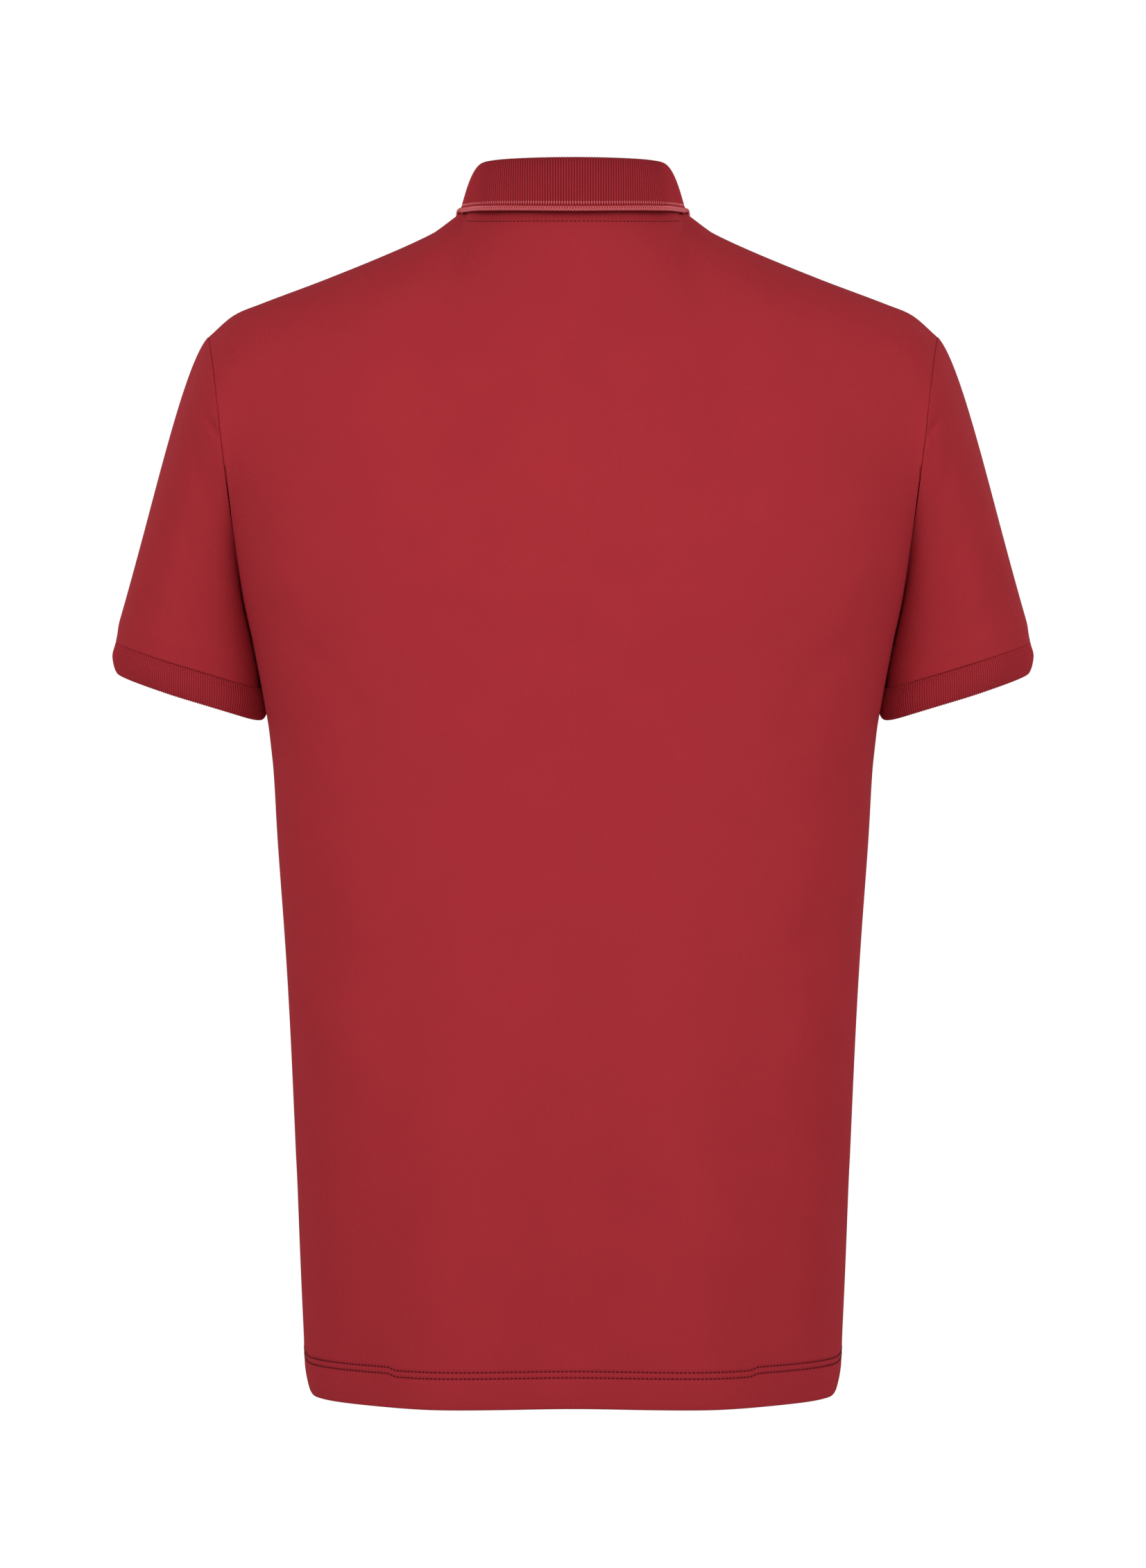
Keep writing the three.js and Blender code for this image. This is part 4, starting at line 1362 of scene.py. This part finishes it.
def collar_edge(ribs, name, material):
    """The twisted pale cord knitted along the leaf's edge: one slanted stitch a rib."""
    share = along_ribs(np.linspace(-1, 1, ribs * 2 + 1)[1:-1:2], 2.0)
    points = collar_bare(share, np.full(len(share), 2.0))
    above = collar_bare(share, np.full(len(share), 1.93))
    rest = COLLAR_KNIT + LEAF_GAP + BAND_CLOTH * smooth((np.abs(share) - 0.8) * 8)
    cover = BodyCover()
    points = cover.lift(points, rest)
    above = cover.lift(above, rest)
    side = np.where(share < 0, -1, 1)[:, None]
    up = unit(above - points)
    along = unit(np.gradient(points, axis=0)) * side
    out = unit(np.cross(up, along)) * side
    low = points - out * COLLAR_KNIT * 0.3 + up * 0.0008
    high = low + up * 0.0013
    size = (0.0024, 0.0010, COLLAR_KNIT)
    return stitch_mesh(
        name,
        np.concatenate([low, high]),
        np.concatenate([up * 1.1 + along, up * 1.4 - along]),
        np.concatenate([out, out]),
        size,
        material,
    )


class MakeCollar(ShirtPiece):
    """Make the folded ribbed collar with its tipped edge"""

    bl_idname = "shirt.make_collar"
    bl_label = "Make Collar"

    def execute(self, context):
        rib = context.scene.shirt_rib
        knit = rib_knit("rib_tipped", rib.colour, rib.tipping, rib, tipped=True)
        mesh, ribs = collar_mesh("collar_knit", rib, knit)
        piece = add_piece("collar_knit", mesh, knit, ["collar"])
        thread = sewing_thread("tipping_thread", rib.tipping)
        edge = collar_edge(ribs, "collar_edge", thread)
        cord = add_piece("collar_edge", edge, thread)
        return {"FINISHED"}


# ---------------------------------------------------------------- placket and buttons


BAND_WIDTH = 0.0305
BAND_HEIGHT = 0.16
BAND_COLUMNS = 25
BAND_ROWS = 90


def band_mesh(name, low, high, half_share, lift, thickness):
    """A strip that lies on the middle of the front, raised by lift."""
    radius = thickness / 2
    shares, offsets, sink = spread(BAND_COLUMNS, (radius, radius))
    ups, up_offsets, up_sink = spread(BAND_ROWS, (radius, radius))
    across, level = np.meshgrid(
        ((shares + offsets / BAND_WIDTH) * 2 - 1) * half_share,
        mix(low, high, ups + up_offsets / BAND_HEIGHT),
    )
    sink = np.maximum(sink[None, :], up_sink[:, None])
    outer, normal = panel_surface(FRONT, across, level, lift + thickness)
    inner = outer - normal * (thickness - sink)[..., None]
    outer = outer - normal * sink[..., None]
    u, v = measured_uv(outer, middle=across.shape[1] // 2)
    return shell_mesh(name, outer, inner, (np.abs(u), v))


class MakePlacket(ShirtPiece):
    """Make the two bands of the front placket"""

    bl_idname = "shirt.make_placket"
    bl_label = "Make Placket"

    def execute(self, context):
        cloth = self.pique(context)
        under = band_mesh(
            "under_band_cloth",
            PLACKET_BOTTOM + 0.002,
            UNDER_BAND_TOP,
            PLACKET_SHARE - 0.0012,
            -CLOTH,
            CLOTH,
        )
        over = band_mesh(
            "over_band_cloth",
            PLACKET_BOTTOM - 0.02,
            OVER_BAND_TOP,
            PLACKET_SHARE + BAND_OVERHANG,
            SEAM_GAP,
            BAND_CLOTH,
        )
        for mesh, node, flat in (
            (under, "placket_under_band", (0.03, 0.135)),
            (over, "placket_over_band", (0.034, 0.135)),
        ):
            piece = add_piece(mesh.name, mesh, cloth, [node])
        return {"FINISHED"}


# A button's outline: radius and height as shares of its own
BUTTON_PROFILE = [
    (0.0, 0.0),
    (0.84, 0.0),
    (0.96, 0.12),
    (1.0, 0.32),
    (1.0, 0.72),
    (0.96, 0.92),
    (0.86, 1.0),
    (0.74, 0.97),
    (0.66, 0.80),
    (0.58, 0.68),
    (0.40, 0.62),
    (0.0, 0.60),
]
HOLE_PLACE = 0.26  # from a button's middle to each hole, as a share of its radius


def button_mesh(name, place, out, settings):
    """A round button with a raised rim and four holes, and the turn that places it."""
    radius, height = settings.radius, settings.height
    segments = 48
    points, faces = [], []
    rings = []
    for r, h in BUTTON_PROFILE:
        ring = []
        for k in range(segments if r else 1):
            angle = 2 * math.pi * k / segments
            ring.append(len(points))
            points.append((r * radius * math.cos(angle), r * radius * math.sin(angle), h * height))
        rings.append(ring)
    for low, high in zip(rings, rings[1:]):
        for k in range(segments):
            n = (k + 1) % segments
            if len(low) == 1:
                faces.append((low[0], high[n], high[k]))
            elif len(high) == 1:
                faces.append((low[k], low[n], high[0]))
            else:
                faces.append((low[k], low[n], high[n], high[k]))
    mesh = bpy.data.meshes.new(name)
    mesh.from_pydata(points, [], faces)
    mesh.validate()
    button = bpy.data.objects.new(name, mesh)
    bpy.context.scene.collection.objects.link(button)
    drill_points, drill_faces = [], []
    for hole in range(4):
        middle = math.pi / 4 + hole * math.pi / 2
        x = HOLE_PLACE * radius * math.cos(middle)
        y = HOLE_PLACE * radius * math.sin(middle)
        first = len(drill_points)
        for z in (-height, 2 * height):
            for k in range(12):
                angle = 2 * math.pi * k / 12
                drill_points.append(
                    (x + settings.hole * math.cos(angle), y + settings.hole * math.sin(angle), z)
                )
        for k in range(12):
            n = (k + 1) % 12
            drill_faces.append((first + k, first + n, first + 12 + n, first + 12 + k))
        drill_faces.append(tuple(range(first + 11, first - 1, -1)))
        drill_faces.append(tuple(range(first + 12, first + 24)))
    drill_mesh = bpy.data.meshes.new(name + "_drill")
    drill_mesh.from_pydata(drill_points, [], drill_faces)
    drill = bpy.data.objects.new(name + "_drill", drill_mesh)
    bpy.context.scene.collection.objects.link(drill)
    cut = button.modifiers.new("holes", "BOOLEAN")
    cut.operation = "DIFFERENCE"
    cut.solver = "EXACT"
    cut.object = drill
    depsgraph = bpy.context.evaluated_depsgraph_get()
    result = bpy.data.meshes.new_from_object(button.evaluated_get(depsgraph))
    bpy.data.objects.remove(button)
    bpy.data.objects.remove(drill)
    turn = Vector(out).to_track_quat("Z", "Y").to_matrix().to_4x4()
    turn.translation = Vector(place)
    result.transform(turn)
    result.name = name
    return result, turn


class MakeButtons(ShirtPiece):
    """Make the three buttons, fastened"""

    bl_idname = "shirt.make_buttons"
    bl_label = "Make Buttons"

    def execute(self, context):
        settings = context.scene.shirt_buttons
        plastic = button_plastic("button_red", settings.colour)
        thread = self.thread(context)
        names = ("button_top", "button_middle", "button_bottom")
        for i, (name, level) in enumerate(zip(names, BUTTON_LEVELS)):
            place = panel_point(FRONT, np.array(0.0), np.array(level))
            normal = panel_normal(FRONT, np.array(0.0), np.array(level))
            place = place + normal * (BAND_CLOTH + 2 * SEAM_GAP)
            mesh, turn = button_mesh(name, place, normal, settings)
            add_piece(name, mesh, plastic, [f"button_{i + 1}"])
            axes = np.array(turn.to_3x3())
            across, up = axes[:, 0], axes[:, 1]
            side = np.array([1, -1, 1, -1]) * HOLE_PLACE * 0.70 * settings.radius
            rise = settings.height * 0.72
            places = np.stack([place + normal * rise] * 4)
            alongs = np.stack([across, across, up, up])
            places = places + np.stack([up, up, across, across]) * side[:, None]
            size = (0.0034, 0.0007, 0.0008)
            outs = np.stack([normal] * 4)
            sewn = stitch_mesh(name + "_thread", places, alongs, outs, size, thread)
            add_piece(name + "_thread", sewn, thread)
        return {"FINISHED"}


# ---------------------------------------------------------------- sewing


class MakeSewing(ShirtPiece):
    """Sew the rows of stitches along the hem, the neck, the placket and the buttonholes"""

    bl_idname = "shirt.make_sewing"
    bl_label = "Sew Stitches"

    def rows(self, name, lines, size, pitch, thread):
        """Lines of stitches as one piece; each line is points and outward normals."""
        places, alongs, outs = [], [], []
        for points, normals in lines:
            place, along, (out,) = evenly(points, [normals], pitch)
            places.append(place)
            alongs.append(along)
            outs.append(out)
        mesh = stitch_mesh(
            name, np.concatenate(places), np.concatenate(alongs), np.concatenate(outs), size, thread
        )
        return add_piece(name, mesh, thread)

    def execute(self, context):
        sewing = context.scene.shirt_sewing
        thread = self.thread(context)
        size = (sewing.pitch * 0.84, sewing.width, sewing.width)
        across = np.linspace(-0.999, 0.999, 3000)
        for face, name in ((BACK, "hem_stitches_back"), (FRONT, "hem_stitches_front")):
            lines = []
            for height in (sewing.hem_low, sewing.hem_high):
                level = (height + hem_step(across)) / (CHEST_Z - HEM_Z)
                lines.append(panel_surface(face, across, level, -0.0002))
            self.rows(name, lines, size, sewing.pitch, thread)
        climb = np.linalg.norm(
            panel_point(BACK, np.array(0.0), np.array(2.0))
            - panel_point(BACK, np.array(0.0), np.array(1.99))
        )
        neck = np.linspace(-NECK_SHARE * 0.93, NECK_SHARE * 0.93, 800)
        level = np.full_like(neck, 2 - sewing.neck_drop * 0.01 / climb)
        line = panel_surface(BACK, neck, level, -0.0001)
        self.rows("neck_stitches", [line], size, sewing.pitch, thread)
        half = PLACKET_SHARE + BAND_OVERHANG
        top = BAND_CLOTH + SEAM_GAP
        inset = 0.88
        up = np.linspace(PLACKET_BOTTOM, OVER_BAND_TOP - 0.01, 400)
        side = np.full_like(up, half * inset)
        lines = [panel_surface(FRONT, place, up, top) for place in (side, -side)]
        span = np.linspace(-half * inset, half * inset, 120)
        for low in (PLACKET_BOTTOM - 0.01, PLACKET_BOTTOM + 0.04):
            lines.append(panel_surface(FRONT, span, np.full_like(span, low), top))
        self.rows("placket_stitches", lines, size, sewing.pitch, thread)
        holes = []
        for middle in BUTTON_LEVELS:
            reach = np.linspace(-0.058, 0.058, 60) + middle
            for edge in (-0.0011, 0.0011):
                holes.append(panel_surface(FRONT, np.full_like(reach, edge * 3), reach, top))
        self.rows("buttonhole_stitches", holes, (0.0007, 0.0012, 0.0005), 0.0006, thread)
        return {"FINISHED"}


# ---------------------------------------------------------------- stage


def add_light(name, kind, place, target, size, power):
    """Adds a soft light that shines at a target, and gives its data."""
    data = bpy.data.lights.new(name, kind)
    if kind == "AREA":
        data.size = size
    else:
        data.shadow_soft_size = size / 2
    data.energy = power
    light = bpy.data.objects.new(name, data)
    light.location = place
    light.rotation_euler = (Vector(target) - Vector(place)).to_track_quat("-Z", "Y").to_euler()
    bpy.context.scene.collection.objects.link(light)
    return data


FLOOR_HALF = 3.0  # half the floor's side


class MakeStage(ShirtPiece):
    """Make the floor, the camera and the soft studio light"""

    bl_idname = "shirt.make_stage"
    bl_label = "Make Stage"

    def execute(self, context):
        scene = context.scene
        settings = scene.shirt_stage
        corners = [
            (x * FLOOR_HALF, y * FLOOR_HALF, settings.floor_height)
            for x, y in ((-1, -1), (1, -1), (1, 1), (-1, 1))
        ]
        mesh = bpy.data.meshes.new("floor")
        mesh.from_pydata(corners, [], [(0, 1, 2, 3)])
        floor = bpy.data.objects.new("floor", mesh)
        scene.collection.objects.link(floor)
        mesh.materials.append(plain_paper("floor_paper", settings.floor_colour))
        world = bpy.data.worlds.new("studio")
        scene.world = world
        world.use_nodes = True
        world.node_tree.nodes.clear()
        path = add_node(world.node_tree, "ShaderNodeLightPath")
        seen = Signal(world.node_tree, path.outputs["Is Camera Ray"])
        strength = settings.ambient + seen * (1.0 - settings.ambient)
        shade = add_node(
            world.node_tree,
            "ShaderNodeBackground",
            None,
            {"Color": (1.0, 1.0, 1.0, 1.0), "Strength": strength},
        )
        add_node(
            world.node_tree, "ShaderNodeOutputWorld", None, {"Surface": shade.outputs["Background"]}
        )
        middle = (0, 0, -0.3)
        for name, side in (("rear", 1), ("front", -1)):
            for x in (-1.3, 1.3):
                place = (x, side * 1.5, 0.35)
                add_light(name + "_side", "AREA", place, middle, 1.2, settings.side_power)
            place = (0, side * 3.0, 0.35)
            aim = (0, 0, -0.27)
            spot = add_light(name + "_middle", "SPOT", place, aim, 1.0, settings.middle_power)
            spot.spot_size = math.radians(24)
            spot.spot_blend = 1.0
        data = bpy.data.cameras.new("camera")
        camera = bpy.data.objects.new("camera", data)
        scene.collection.objects.link(camera)
        camera.location = (0, settings.distance, settings.eye_height)
        camera.rotation_euler = (math.pi / 2, 0, math.pi)
        data.sensor_fit = "AUTO"
        data.sensor_width = 36
        data.lens = data.sensor_width * settings.distance / settings.view_height
        data.clip_end = 50
        scene.camera = camera
        scene.view_settings.view_transform = "Standard"
        return {"FINISHED"}


class ShirtPanel(bpy.types.Panel):
    """Lists the shirt's settings and the operators that make it"""

    bl_idname = "VIEW3D_PT_polo_shirt"
    bl_label = "Polo Shirt"
    bl_space_type = "VIEW_3D"
    bl_region_type = "UI"
    bl_category = "Polo Shirt"

    def draw(self, context):
        for operator in OPERATORS:
            self.layout.operator(operator.bl_idname)
        for name, group in GROUPS.items():
            box = self.layout.box()
            box.label(text=group.__doc__)
            for setting in group.__annotations__:
                box.prop(getattr(context.scene, name), setting)


OPERATORS = (
    MakePanels,
    MakeSleeves,
    MakeCuffs,
    MakeCollar,
    MakePlacket,
    MakeButtons,
    MakeSewing,
    MakeStage,
)


def register():
    for group in GROUPS.values():
        bpy.utils.register_class(group)
    for name, group in GROUPS.items():
        setattr(bpy.types.Scene, name, bpy.props.PointerProperty(type=group))
    for operator in OPERATORS:
        bpy.utils.register_class(operator)
    bpy.utils.register_class(ShirtPanel)


def unregister():
    bpy.utils.unregister_class(ShirtPanel)
    for operator in reversed(OPERATORS):
        bpy.utils.unregister_class(operator)
    for name in GROUPS:
        delattr(bpy.types.Scene, name)
    for group in reversed(GROUPS.values()):
        bpy.utils.unregister_class(group)


def main():
    register()
    for operator in OPERATORS:
        category, action = operator.bl_idname.split(".")
        getattr(getattr(bpy.ops, category), action)()


if __name__ == "__main__":
    main()
